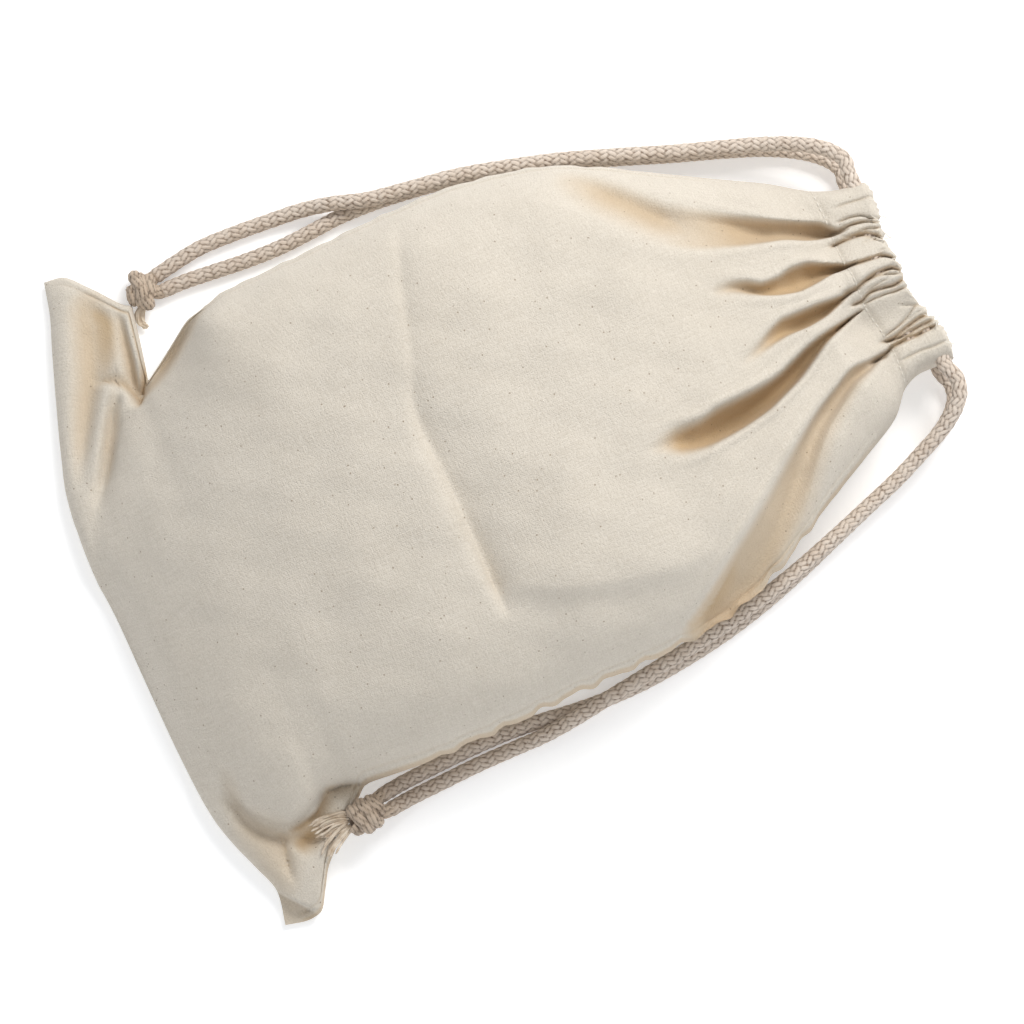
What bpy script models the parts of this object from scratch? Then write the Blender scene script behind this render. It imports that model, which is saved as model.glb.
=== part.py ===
"""Cotton drawstring backpack lying on its back, softly filled out, its mouth drawn shut by two cords.

Metres, +Z up. The bag lies on z = 0 with its mouth towards +Y and its left side towards -X. Sizes and
tables are in millimetres and are turned into metres where the meshes are made.
"""
import math

import bmesh
import bpy
import numpy as np
from mathutils import Matrix, Vector

MM = 0.001

# Driving dimensions, in millimetres.
BOX_CENTRE = (0.85, 216.75)   # middle of the bag's own plan box, which becomes the origin
CLOTH_WALL = 1.4              # thickness of the cloth sheet
SEAM_MARGIN = 8.0             # width of the closed strip inside each side seam
HEM_MARGIN = 3.0              # the same inside the turned hem
LEAST_HOLLOW = 0.8            # height of the hollow where front and back lie together
ROW_LENGTH = 430.0            # bottom fold to mouth, along the middle of the plan
CASING_START = 0.947          # share of the way up where the turned hem begins
HEM_RISE_START = 0.88         # from here up the front takes on the height of the mouth
POCKET_END = 0.012            # share of the way up in which a pocket ends at the hem
EDGE_RISE = 5.0               # height of the front over the seams at the edge of the filled part
LEAST_FRONT = 6.5             # least height of the front before it closes on a seam
BOTTOM_LIFT = 3.0             # how much the middle of the bottom fold is raised over its corners
FRONT_ROUNDING = 0.04         # share of the way up in which the front rises from the bottom fold
BACK_ROUNDING = 0.05          # and in which the back comes down from it
SIDE_CLOSING = 14             # power of the curve by which the front closes on a side seam
BACK_FLAT = 0.7               # share of the back's half width that lies on the surface
BACK_CLOSING = 2.5            # power of the curve by which the back rises to a side seam
FOLD_SPREAD = 0.72            # width of a fold's bell, in its half width squared
MOUTH_SIDE_HEIGHT = 36.0      # height of the gathered mouth near its side seams
MOUTH_RISE = 14.5             # extra height in the middle of the mouth
CHANNEL_EXIT = 55.0           # where a cord is clear of the hem, from the middle
TURN_HALF = 25.0              # half of the stretch where the two cords pass over each other

CORD_DIAMETER = 7.6
LANE = 4.9                    # a cord's distance from the middle of its channel
CHANNEL_WIDTH = 2 * (LANE + CORD_DIAMETER / 2 + 0.6)
CHANNEL_HEIGHT = CORD_DIAMETER + 2.6
CHANNEL_EXTRA = CHANNEL_WIDTH - CHANNEL_HEIGHT + 2.0
CHANNEL_SKIN = 1.6            # cloth between a channel and the outside
CHANNEL_FLOOR = 1.3           # cloth between a channel and the mouth
CHANNEL_INSET = CHANNEL_WIDTH / 2 + 1.5   # channel's middle below the mouth edge
CHANNEL_REACH = 75.0          # how far a channel cutter runs to each side
CHANNEL_BEND = 50.0           # how far it follows the mouth edge to each side
WELL_OUTER = 47.4             # a turning cord's pocket reaches this far from the middle
WELL_INNER = 26.0
WELL_SKIN = CHANNEL_SKIN + 0.4    # cloth over and under the pocket
WELL_WIDTH = CORD_DIAMETER + 1.2
TURN_RADIUS = 11.6            # bend of a cord from the front channel into the back one
TURN_CENTRE = WELL_OUTER - 0.5 - CORD_DIAMETER / 2 - TURN_RADIUS
TURN_LEAD = 3.0               # a cord's channel points end this far before its turn
CORD_REST = CORD_DIAMETER / 2 + 0.1   # height of a cord's middle where it lies on the surface
CORD_STEP = 22.5              # most distance between two points of a cord
CORD_BEND = 15.0              # most degrees that it turns between them

COLUMNS = 40
COLUMN_CROWDING = .045        # how much closer the columns stand near the side seams
ROWS = (0, .008, .022, .042, .066, .092, .117, .141, .166, .19, .215, .24, .265, .29, .32, .36, .405, .45,
        .495, .54, .58, .62, .655, .69, .725, .76, .79, .82, .85, .88, .905, .93, .947, .975, 1)
INNER_ROWS = (.035, .075, .12, .165, .21, .26, .32, .40, .48, .56, .64, .71, .78, .84, .89, .93, .9469,
              .9471, 1)

# Side seams from the bottom corner to the mouth: share of the way up, x, y, height above the surface.
LEFT_SEAM = (
    (0, -175, 32.5, 3), (.018, -174, 41, 3), (.05, -163, 52.5, 3.5), (.092, -146.5, 66.5, 5),
    (.19, -138.5, 86, 8), (.29, -131.5, 103, 22), (.34, -129, 127, 30), (.41, -129.5, 160, 34),
    (.50, -130.5, 203, 36), (.56, -130.5, 230, 36), (.62, -127.5, 257, 35), (.68, -121.5, 285, 33),
    (.74, -110.5, 311, 30), (.80, -95.5, 338, 27), (.86, -80.5, 365, 24), (.91, -68, 388, 21),
    (.951, -53.5, 410, 19), (.975, -50, 421, 18), (1, -48.5, 433.5, 18))
RIGHT_SEAM = (
    (0, 174.5, 14, 3), (.03, 177, 26.5, 3), (.045, 176, 32.5, 4), (.07, 166.5, 39.5, 5),
    (.10, 157, 45.5, 6), (.13, 148, 55, 7), (.16, 139, 66, 8), (.185, 131.5, 73.5, 10), (.205, 127, 80.5, 13),
    (.235, 128.5, 95, 20), (.30, 131.5, 125, 30), (.37, 132, 157, 34), (.45, 131, 192, 36),
    (.53, 131, 228, 36), (.60, 130, 258, 35), (.66, 125.5, 285, 33), (.71, 117, 309, 31),
    (.76, 104.5, 332, 28), (.81, 91, 355, 26), (.86, 79.5, 377, 24), (.91, 68, 398, 21),
    (.951, 55, 411, 19), (.975, 52, 421, 18), (1, 52.5, 437, 18))
# Bottom fold and mouth edge: x, y.
BOTTOM_FOLD = ((-175, 32.5), (-158, 28.5), (-141, 22.5), (-113, 13), (-88, 5), (-68, -.5), (-50, -2.5),
               (-20, -2), (60, -1), (95, .5), (112, 2.5), (127, 6.5), (142, 12), (158, 17), (174.5, 14))
MOUTH_EDGE = ((-48.5, 433.5), (-30, 431), (-8, 428), (10, 428), (26, 433), (36, 436),
              (52.5, 437))
# Where the filled part of the bag ends below the side seams' straight run: y, x.
FILL_LEFT = ((-10, -20), (5, -45), (18, -62), (30, -78), (42, -92), (55, -99), (62, -106), (80, -119))
FILL_RIGHT = ((-10, 80), (5, 98), (16, 110), (24, 119), (32, 127), (39, 130), (50, 127), (60, 122),
              (70, 122.5))
# Height of the front along its middle: share of the way up, height.
CROWN = ((0, 6), (.03, 26), (.07, 42), (.13, 60), (.20, 75), (.30, 88), (.40, 95), (.50, 97), (.60, 94),
         (.70, 85), (.78, 74), (.85, 63), (.91, 54.5), (.947, 50), (1, 49))

# The left side is buckled inwards: where its pinch starts, which way it points, and how deep it is.
PINCH_START = (-138.5, 86.0)
PINCH_AXIS = (.80, -.60)
PINCH_DEPTH = 41.8
PINCH_HALF = 17.6
PINCH_FADE = 72.0

# Folds of the front: each row of a route is x, y, half width, depth (a negative depth is a ridge).
FOLDS = {
    "pocket 1": ((-33, 411, 4, 8), (-37, 395, 6, 13), (-46, 375, 8, 14), (-58, 352, 11, 10),
                 (-74, 330, 14, 4), (-86, 312, 16, 0)),
    "pocket 2": ((-15, 411, 3, 8), (-19, 394, 5, 14), (-20, 380, 6, 15), (-25, 364, 6, 11),
                 (-31, 350, 6, 5), (-37, 338, 6, 0)),
    "pocket 3": ((-2, 411, 3, 8), (1, 395, 4, 13), (2, 378, 5, 13), (2, 362, 5, 10), (6, 350, 5, 4),
                 (9, 340, 5, 0)),
    "pocket 4": ((8, 411, 3, 8), (12, 396, 3.5, 12), (19, 378, 5, 15), (27, 358, 7, 17), (32, 338, 8, 18),
                 (33, 318, 8, 18), (34, 302, 8, 14), (33, 290, 8, 6), (32, 280, 8, 0)),
    "pocket 5": ((30, 411, 3, 7), (36, 394, 6, 10), (50, 374, 10, 11), (66, 350, 14, 10),
                 (82, 325, 15, 7), (96, 300, 15, 3), (104, 280, 14, 0)),
    "packing crease": ((-134, 205, 7, 0), (-100, 198, 6, 1.5), (-60, 184, 5, 2), (-20, 181, 4, 2.5),
                       (20, 179, 3.5, 3), (52, 178, 3.5, 3.5), (72, 180, 4, 2), (90, 183, 5, 0)),
    "left corner trough": ((-146, 60, 7, 0), (-136, 49, 8, 4), (-118, 38, 9, 6), (-98, 26, 9, 6),
                           (-80, 16, 8, 3), (-66, 10, 7, 0)),
    "left corner crease": ((-106, 52, 4, 0), (-96, 45, 5, 6), (-82, 33, 6, 7), (-68, 23, 7, 4),
                           (-56, 16, 7, 0)),
    "right corner trough": ((112, 17, 6, 0), (128, 24, 6, 5), (140, 25, 5, 4), (156, 22, 5, 0)),
}


def curve_through(keys, values, at):
    """Smooth curve through (keys, values) that never overshoots them: cubic pieces whose slope at a point
    is the harmonic mean of the slopes on its two sides, and zero at a peak."""
    keys = np.asarray(keys, float)
    values = np.asarray(values, float)
    at = np.clip(np.asarray(at, float), keys[0], keys[-1])
    step = np.diff(keys)
    rise = np.diff(values) / step
    slope = np.concatenate([rise[:1], np.zeros(len(keys) - 2), rise[-1:]])
    left, right = rise[:-1], rise[1:]
    same = left * right > 0
    slope[1:-1][same] = 2 * left[same] * right[same] / (left[same] + right[same])
    i = np.clip(np.searchsorted(keys, at) - 1, 0, len(step) - 1)
    t = (at - keys[i]) / step[i]
    return ((1 + 2 * t) * (1 - t) ** 2 * values[i] + t * (1 - t) ** 2 * step[i] * slope[i]
            + t * t * (3 - 2 * t) * values[i + 1] + t * t * (t - 1) * step[i] * slope[i + 1])


def column(table, index):
    return [row[index] for row in table]


def seam(table, share, index):
    return curve_through(column(table, 0), column(table, index), share)


def fade(value, start, end):
    """1 before start, 0 after end, smooth between."""
    t = np.clip((np.asarray(value, float) - start) / (end - start), 0, 1)
    return 1 - t * t * (3 - 2 * t)


def start_of(up, reach):
    """1 at the bottom fold, 0 from reach on, straight between."""
    return np.clip(1 - up / reach, 0, 1)


def turn_share(x):
    """How far the two cords have passed over each other at x, from 0 at the left to 1 at the right."""
    return 1 - fade(x, -TURN_HALF, TURN_HALF)


def mouth_bump(x):
    return np.sin(math.pi * turn_share(x))


def mouth_edge(x):
    return curve_through(column(MOUTH_EDGE, 0), column(MOUTH_EDGE, 1), x)


def plan(across, up):
    """Plan of the cloth. Straight rows between the side seams, bent to the bottom fold and the mouth edge,
    and then pushed inwards along the pinch: by its depth on the pinch's line, by nothing beyond its half
    width, and less and less towards the inside, so that no two places meet."""
    x = (1 - across) * seam(LEFT_SEAM, up, 1) + across * seam(RIGHT_SEAM, up, 1)
    low = fade(up, 0, .30)
    high = 1 - fade(up, .80, 1)
    near_left = fade(across, 0, .33)
    near_right = 1 - fade(across, .67, 1)
    low_x = LEFT_SEAM[0][1] + across * (RIGHT_SEAM[0][1] - LEFT_SEAM[0][1])
    high_x = LEFT_SEAM[-1][1] + across * (RIGHT_SEAM[-1][1] - LEFT_SEAM[-1][1])
    from_low = curve_through(column(BOTTOM_FOLD, 0), column(BOTTOM_FOLD, 1), low_x)
    from_high = mouth_edge(high_x) - ROW_LENGTH
    y = ROW_LENGTH * up + low * from_low + high * from_high
    for table, near in ((LEFT_SEAM, near_left), (RIGHT_SEAM, near_right)):
        offset = seam(table, up, 2) - ROW_LENGTH * up
        y = y + near * (offset - low * table[0][2] - high * (table[-1][2] - ROW_LENGTH))
    dx, dy = x - PINCH_START[0], y - PINCH_START[1]
    inward = dx * PINCH_AXIS[0] + dy * PINCH_AXIS[1]
    sideways = -dx * PINCH_AXIS[1] + dy * PINCH_AXIS[0]
    tent = np.maximum(0, 1 - np.abs(sideways) / PINCH_HALF)
    push = PINCH_DEPTH * tent * np.exp(-np.maximum(inward, 0) / PINCH_FADE) * fade(across, .25, .6)
    return x + push * PINCH_AXIS[0], y + push * PINCH_AXIS[1]


def route_points(route, steps):
    """Points along a route of rows x, y, half width, depth, evenly spread over its rows."""
    route = np.asarray(route, float)
    at = np.linspace(0, len(route) - 1, steps)
    return np.stack([curve_through(range(len(route)), route[:, k], at) for k in range(route.shape[1])], 1)


def fold_depth(x, y, route):
    """Depth of a fold at (x, y): its depth at the nearest place of its route, times a bell of the distance
    over its half width."""
    points = route_points(route, 60)
    gap = (x[..., None] - points[:, 0]) ** 2 + (y[..., None] - points[:, 1]) ** 2
    nearest = gap.argmin(-1)
    width, depth = points[nearest, 2], points[nearest, 3]
    return depth * np.exp(-gap.min(-1) / (FOLD_SPREAD * width ** 2))


def body_edge(table, fill, y):
    """x of the filled part's edge at y: the fill's own line below, the side seam above."""
    rows = list(fill) + [(row[2], row[1]) for row in table if row[2] > fill[-1][0] + 4 and row[0] > .2]
    return curve_through(column(rows, 0), column(rows, 1), y)


def rest_height(across, up):
    """Height of the seams' own surface: the two side seams, joined straight across."""
    height = (1 - across) * seam(LEFT_SEAM, up, 3) + across * seam(RIGHT_SEAM, up, 3)
    return height + BOTTOM_LIFT * np.sin(math.pi * across) * fade(up, 0, .05)


def mouth_height(x):
    return MOUTH_SIDE_HEIGHT + MOUTH_RISE * mouth_bump(x)


def front(across, up):
    """Front of the bag. Its section is a crown, (1 - |t|^3)^0.55 of the crown's height with t from -1 to 1
    between the edges of the filled part. It has its folds, and closes on the side seams and the bottom."""
    x, y = plan(across, up)
    base = rest_height(across, up)
    left = body_edge(LEFT_SEAM, FILL_LEFT, y)
    right = body_edge(RIGHT_SEAM, FILL_RIGHT, y)
    t = np.clip((2 * x - left - right) / (right - left), -1, 1)
    section = (1 - np.abs(t) ** 3) ** (.55 + .35 * fade(y, 20, 80))
    edge = base + EDGE_RISE
    height = edge + (curve_through(column(CROWN, 0), column(CROWN, 1), up) - edge) * section
    into_hem = 1 - fade(up, HEM_RISE_START, CASING_START)
    height = height + (mouth_height(x) - height) * into_hem
    for name, route in FOLDS.items():
        keep = fade(up, CASING_START - POCKET_END, CASING_START) if name.startswith("pocket") else 1
        height = height - fold_depth(x, y, route) * keep
    height = np.maximum(height, LEAST_FRONT)
    side = np.abs(2 * across - 1)
    close = np.sqrt(1 - side ** SIDE_CLOSING) * np.sqrt(1 - start_of(up, FRONT_ROUNDING) ** 2)
    return np.stack([x, y, base + (height - base) * close], -1)


def back(across, up):
    """Back of the bag: flat on the surface, turned up to the seams near the sides and the bottom."""
    x, y = plan(across, up)
    base = rest_height(across, up)
    side = np.clip((np.abs(2 * across - 1) - BACK_FLAT) / (1 - BACK_FLAT), 0, 1)
    close = np.sqrt(1 - side ** BACK_CLOSING) * np.sqrt(1 - start_of(up, BACK_ROUNDING) ** 2)
    return np.stack([x, y, base * (1 - close)], -1)


def normals(panel, across, up):
    """Unit normals of a panel from small steps in its two directions."""
    e = 1e-3
    along = panel(np.clip(across + e, 0, 1), up) - panel(np.clip(across - e, 0, 1), up)
    upwards = panel(across, np.clip(up + e, 0, 1)) - panel(across, np.clip(up - e, 0, 1))
    n = np.cross(along, upwards)
    return n / np.linalg.norm(n, axis=-1, keepdims=True)


def inner_walls(across, up):
    """Inside of the front and of the back: the cloth's thickness in from the outside, and a channel's
    thickness in where the hem is turned."""
    outside_front, outside_back = front(across, up), back(across, up)
    inside_front = outside_front - CLOTH_WALL * normals(front, across, up)
    inside_back = outside_back + CLOTH_WALL * normals(back, across, up)
    hem = up > CASING_START
    x = outside_front[..., 0]
    thick = CHANNEL_SKIN + CHANNEL_HEIGHT + CHANNEL_EXTRA * mouth_bump(x) + CHANNEL_FLOOR
    for inside, outside, level in ((inside_front, outside_front, mouth_height(x) - thick),
                                   (inside_back, outside_back, thick)):
        inside[..., 0] = np.where(hem, outside[..., 0], inside[..., 0])
        inside[..., 1] = np.where(hem, outside[..., 1], inside[..., 1])
        inside[..., 2] = np.where(hem, level, inside[..., 2])
    middle = (inside_front[..., 2] + inside_back[..., 2]) / 2
    inside_front[..., 2] = np.maximum(inside_front[..., 2], middle + LEAST_HOLLOW / 2)
    inside_back[..., 2] = np.minimum(inside_back[..., 2], middle - LEAST_HOLLOW / 2)
    return inside_front, inside_back


def grid_faces(ids, flip):
    """Quads of a grid of vertex numbers."""
    a, b, c, d = ids[:-1, :-1], ids[:-1, 1:], ids[1:, 1:], ids[1:, :-1]
    quads = np.stack([a, b, c, d], -1).reshape(-1, 4)
    return quads[:, ::-1].tolist() if flip else quads.tolist()


def bag_mesh():
    """The bag as one cloth shell: front and back outside share the side seams and the bottom fold, the
    walls inside are joined by strips, and the mouth's rim joins outside and inside."""
    rows = np.array(ROWS, float)
    even = np.linspace(0, 1, COLUMNS + 1)
    across = even - COLUMN_CROWDING * np.sin(2 * math.pi * even)
    grid_across, grid_up = np.meshgrid(across, rows)
    front_points, back_points = front(grid_across, grid_up), back(grid_across, grid_up)
    count = front_points.shape[0] * front_points.shape[1]
    front_ids = np.arange(count).reshape(front_points.shape[:2])
    back_ids = front_ids + count
    back_ids[:, 0], back_ids[:, -1], back_ids[0] = front_ids[:, 0], front_ids[:, -1], front_ids[0]

    inner_rows = np.array(INNER_ROWS, float)
    widths = (front_points[:, -1, 0] - front_points[:, 0, 0])
    width = np.interp(inner_rows, rows, widths)[:, None]
    margin = np.where(inner_rows[:, None] > CASING_START, HEM_MARGIN, SEAM_MARGIN) / width
    inner_across = margin + (1 - 2 * margin) * across[None, :]
    inner_up = np.repeat(inner_rows[:, None], COLUMNS + 1, 1)
    inner_front, inner_back = inner_walls(inner_across, inner_up)
    inner_count = inner_front.shape[0] * inner_front.shape[1]
    inner_front_ids = 2 * count + np.arange(inner_count).reshape(inner_front.shape[:2])
    inner_back_ids = inner_front_ids + inner_count

    faces = grid_faces(front_ids, False) + grid_faces(back_ids, True)
    faces += grid_faces(inner_front_ids, True) + grid_faces(inner_back_ids, False)
    for ids in (np.stack([inner_front_ids[:, 0], inner_back_ids[:, 0]], 1),
                np.stack([inner_back_ids[:, -1], inner_front_ids[:, -1]], 1)):
        faces += grid_faces(ids, True)
    faces += grid_faces(np.stack([inner_back_ids[0], inner_front_ids[0]]), True)
    faces += grid_faces(np.stack([front_ids[-1], inner_front_ids[-1]]), False)
    faces += grid_faces(np.stack([inner_back_ids[-1], back_ids[-1]]), False)
    faces.append([int(front_ids[-1, 0]), int(inner_front_ids[-1, 0]), int(inner_back_ids[-1, 0])])
    faces.append([int(front_ids[-1, -1]), int(inner_back_ids[-1, -1]), int(inner_front_ids[-1, -1])])
    points = np.concatenate([p.reshape(-1, 3) for p in (front_points, back_points, inner_front, inner_back)])
    return points, faces


def to_frame(points):
    points = np.array(points, float)
    points[..., 0] -= BOX_CENTRE[0]
    points[..., 1] -= BOX_CENTRE[1]
    return points * MM


def make_material(name, colour, roughness):
    material = bpy.data.materials.new(name)
    material.use_nodes = True
    shader = material.node_tree.nodes["Principled BSDF"]
    shader.inputs["Base Color"].default_value = (*colour, 1)
    shader.inputs["Roughness"].default_value = roughness
    return material


def mesh_object(name, points, faces, collection):
    """Object from points in millimetres and faces, without unused points."""
    mesh = bpy.data.meshes.new(name)
    mesh.from_pydata(to_frame(points).tolist(), [], faces)
    shape = bmesh.new()
    shape.from_mesh(mesh)
    loose = [v for v in shape.verts if not v.link_faces]
    bmesh.ops.delete(shape, geom=loose, context="VERTS")
    bmesh.ops.triangulate(shape, faces=shape.faces)
    bmesh.ops.recalc_face_normals(shape, faces=shape.faces)
    shape.to_mesh(mesh)
    shape.free()
    thing = bpy.data.objects.new(name, mesh)
    collection.objects.link(thing)
    return thing


def channel_middle(x, side):
    """Height of a channel's middle and its own height at x; side is 1 in front and -1 at the back."""
    tall = CHANNEL_HEIGHT + CHANNEL_EXTRA * mouth_bump(x)
    low = CHANNEL_SKIN + tall / 2
    return np.where(side > 0, mouth_height(x) - low, low), tall


def channel_line(x):
    return mouth_edge(x) - CHANNEL_INSET


def channel_cutter(name, side, collection):
    """Loft of rectangles that follows the mouth edge from one side to the other."""
    x = np.concatenate([[-CHANNEL_REACH], np.linspace(-CHANNEL_BEND, CHANNEL_BEND, 21), [CHANNEL_REACH]])
    y = channel_line(x)
    z, tall = channel_middle(x, side)
    wide = np.full_like(x, CHANNEL_WIDTH)
    corners = [(-1, -1), (1, -1), (1, 1), (-1, 1)]
    points = np.stack([np.stack([x, y + a * wide / 2, z + b * tall / 2], -1) for a, b in corners], 1)
    faces = []
    for i in range(len(x) - 1):
        for k in range(4):
            m = (k + 1) % 4
            faces.append([4 * i + k, 4 * i + m, 4 * i + 4 + m, 4 * i + 4 + k])
    faces += [[3, 2, 1, 0], [4 * len(x) - 4 + k for k in range(4)]]
    return mesh_object(name, points.reshape(-1, 3), faces, collection)


def well_cutter(name, side, collection):
    """Pocket at one end of the mouth, lower half of the channels, where a cord turns from front to back."""
    middle = side * (WELL_OUTER + WELL_INNER) / 2
    lane = float(channel_line(middle)) - LANE
    height = MOUTH_SIDE_HEIGHT - 2 * WELL_SKIN
    size = (WELL_OUTER - WELL_INNER, WELL_WIDTH, height)
    bpy.ops.mesh.primitive_cube_add(size=1)
    cutter = bpy.context.object
    cutter.name = name
    cutter.data.transform(matrix_from(size, (middle, lane, MOUTH_SIDE_HEIGHT / 2)))
    for owner in list(cutter.users_collection):
        owner.objects.unlink(cutter)
    collection.objects.link(cutter)
    return cutter


def matrix_from(size, centre):
    """Scale to size and move to centre, both in millimetres of the tables."""
    place = to_frame(centre)
    return Matrix.Translation(Vector(place)) @ Matrix.Diagonal((*[s * MM for s in size], 1))


def cut(target, cutters):
    for cutter in cutters:
        cutter.hide_render = True
        cutter.display_type = "WIRE"
        modifier = target.modifiers.new(cutter.name, "BOOLEAN")
        modifier.operation = "DIFFERENCE"
        modifier.object = cutter


def smooth_route(points, spacing, bend):
    """Points on a smooth curve through the route's own points, taken wherever the curve has gone on by
    spacing or turned by bend degrees."""
    points = np.asarray(points, float)
    chord = np.concatenate([[0], np.cumsum(np.sqrt(np.linalg.norm(np.diff(points, axis=0), axis=1)))])
    tangent = np.gradient(points, chord, axis=0)
    fine = np.linspace(0, chord[-1], 3000)
    i = np.clip(np.searchsorted(chord, fine) - 1, 0, len(chord) - 2)
    step = (chord[i + 1] - chord[i])[:, None]
    t = ((fine - chord[i]) / step[:, 0])[:, None]
    curve = ((1 + 2 * t) * (1 - t) ** 2 * points[i] + t * (1 - t) ** 2 * step * tangent[i]
             + t * t * (3 - 2 * t) * points[i + 1] + t * t * (t - 1) * step * tangent[i + 1])
    run = np.linalg.norm(np.diff(curve, axis=0), axis=1)
    heading = np.diff(curve, axis=0) / run[:, None]
    kept, gone, last = [curve[0]], 0.0, heading[0]
    for k in range(1, len(run)):
        gone += run[k - 1]
        turned = math.degrees(math.acos(np.clip(np.dot(heading[k], last), -1, 1)))
        if gone >= spacing or turned >= bend:
            kept.append(curve[k])
            gone, last = 0.0, heading[k]
    if np.linalg.norm(curve[-1] - kept[-1]) < spacing / 3:
        kept.pop()
    kept.append(curve[-1])
    return np.array(kept)


def channel_route(left_lane, side, x_from, x_to):
    """A cord's points in a channel. It lies in the upper (1) or lower (-1) lane at the left and passes
    over or under the other cord, half a turn round the channel's middle, to the other lane."""
    x = np.linspace(x_from, x_to, 13)
    turn = math.pi * turn_share(x)
    y = channel_line(x) + LANE * left_lane * np.cos(turn)
    z = channel_middle(x, side)[0] + LANE * left_lane * np.sin(turn)
    return np.stack([x, y, z], 1).tolist()


def turn_route(side):
    """Half circle in the well, from the front channel to the back one, without its two ends."""
    high = float(channel_middle(side * TURN_CENTRE, 1)[0])
    low = float(channel_middle(side * TURN_CENTRE, -1)[0])
    lane = float(channel_line(side * (WELL_OUTER + WELL_INNER) / 2)) - LANE
    points = []
    for degrees in range(0, 181, 30):
        angle = math.radians(degrees)
        points.append((side * (TURN_CENTRE + TURN_RADIUS * math.sin(angle)), lane,
                       (high + low) / 2 + (high - low) / 2 * math.cos(angle)))
    return points


# Free stretch of each pair of strands, from the knot to the mouth: x and y of the pair's middle, half of
# the distance between the strands, how far the pair is turned up from lying flat (90: one on the other),
# and its lift off the surface.
LEFT_PAIR = ((-150, 84.7, 4.1, 0, .4), (-151.2, 97, 5.3, 0, .1), (-151.7, 112, 7, 0, 0),
             (-150.7, 130, 7.7, 0, 0), (-149.6, 150, 7.4, 0, 0), (-149, 168, 6, 10, 0),
             (-147.4, 184, 4.5, 45, 0), (-144.6, 200, 4.2, 80, 0), (-142, 220, 4.2, 90, 0),
             (-138.2, 245, 4.2, 90, 0), (-131.6, 272, 4.2, 90, 0), (-124, 298, 4.2, 90, 0),
             (-114, 326, 4.2, 90, 0), (-103.5, 354, 4.3, 90, 0), (-95.1, 378, 5, 90, .1),
             (-87.6, 397, 6.4, 90, .4), (-81, 409.5, 8.4, 90, 1), (-75, 418, 10.2, 90, 1.7),
             (-68.5, 424.6, 11.2, 90, 2.3), (-61.5, 428.4, 11.6, 90, 2.5))
RIGHT_PAIR = ((139.6, 83.9, 4.1, 0, 11.5), (137.9, 97, 4.3, 0, 3.5), (136.9, 116, 4.4, 0, .4),
              (136.2, 136, 4.4, 0, 0), (136.4, 156, 4.4, 8, 0), (137.2, 172, 4.4, 30, 0),
              (137.6, 188, 4.4, 60, 0), (137.2, 205, 4.3, 85, 0), (136, 226, 4.3, 105, 0),
              (133.4, 250, 4.3, 113, 0), (129.4, 276, 4.3, 113, 0), (124.6, 298, 4.3, 108, 0),
              (117.9, 322, 4.3, 100, 0), (110.3, 345, 4.3, 93, 0), (102.4, 368, 4.5, 90, 0),
              (95.5, 388, 5.2, 90, .1), (89.2, 403, 6.4, 90, .4), (82.8, 417, 8.4, 90, 1),
              (76.6, 426.3, 10.2, 90, 1.8), (69.8, 431.9, 11.2, 90, 2.4), (62, 433.4, 11.6, 90, 2.5))


def strand_route(pair, side, upper):
    """One strand (upper is 1 or -1) of a pair. It lies half the pair's distance from the middle, outwards
    or inwards when the pair is flat, above or below when it is turned up."""
    x, y, half, turn, lift = np.array(pair, float).T
    turn = np.radians(turn)
    ahead = np.stack([np.gradient(x), np.gradient(y)])
    ahead /= np.linalg.norm(ahead, axis=0)
    reach = upper * half * np.cos(turn)
    z = CORD_REST + lift + half * np.abs(np.sin(turn)) + upper * half * np.sin(turn)
    return np.stack([x + side * reach * ahead[1], y - side * reach * ahead[0], z], 1).tolist()


def cord_route(side):
    """One cord from its knot round through both channels and back to its knot. side is -1 for the cord
    tied at the left, which lies in the upper lane there, and 1 for the one tied at the right."""
    pair = LEFT_PAIR if side < 0 else RIGHT_PAIR
    left_lane = 1 if side < 0 else -1
    near, far = side * CHANNEL_EXIT, -side * (TURN_CENTRE - TURN_LEAD)
    there = channel_route(left_lane, 1, near, far)
    again = channel_route(left_lane, -1, near, far)
    over, under = strand_route(pair, side, 1), strand_route(pair, side, -1)
    return over + there + turn_route(-side) + again[::-1] + under[::-1]


def make_cord(name, side, collection, material):
    curve = bpy.data.curves.new(name, "CURVE")
    curve.dimensions = "3D"
    curve.bevel_depth = CORD_DIAMETER / 2 * MM
    curve.bevel_resolution = 2
    curve.use_fill_caps = True
    points = to_frame(smooth_route(cord_route(side), CORD_STEP, CORD_BEND))
    spline = curve.splines.new("POLY")
    spline.points.add(len(points) - 1)
    spline.points.foreach_set("co", np.column_stack([points, np.ones(len(points))]).ravel())
    cord = bpy.data.objects.new(name, curve)
    collection.objects.link(cord)
    curve.materials.append(material)
    length = np.linalg.norm(np.diff(points, axis=0), axis=1).sum()
    print(f"{name}: {len(points)} points, {length:.3f} m")
    return cord


def make_knot(name, centre, radii, collection, material):
    """Overhand knot as a lumpy ball: the bulge of each wrap is a wave round and along the ball."""
    shape = bmesh.new()
    bmesh.ops.create_uvsphere(shape, u_segments=20, v_segments=12, radius=1)
    for vertex in shape.verts:
        x, y, z = vertex.co
        turn = math.atan2(y, x)
        lump = 1 + .05 * math.sin(3 * turn + 2.5 * z) + .04 * math.cos(5 * z + 2 * turn)
        vertex.co = Vector((x * radii[0], y * radii[1], z * radii[2])) * lump * MM
    mesh = bpy.data.meshes.new(name)
    shape.to_mesh(mesh)
    shape.free()
    knot = bpy.data.objects.new(name, mesh)
    knot.location = to_frame(centre)
    mesh.materials.append(material)
    mesh.shade_smooth()
    collection.objects.link(knot)
    return knot


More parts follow.
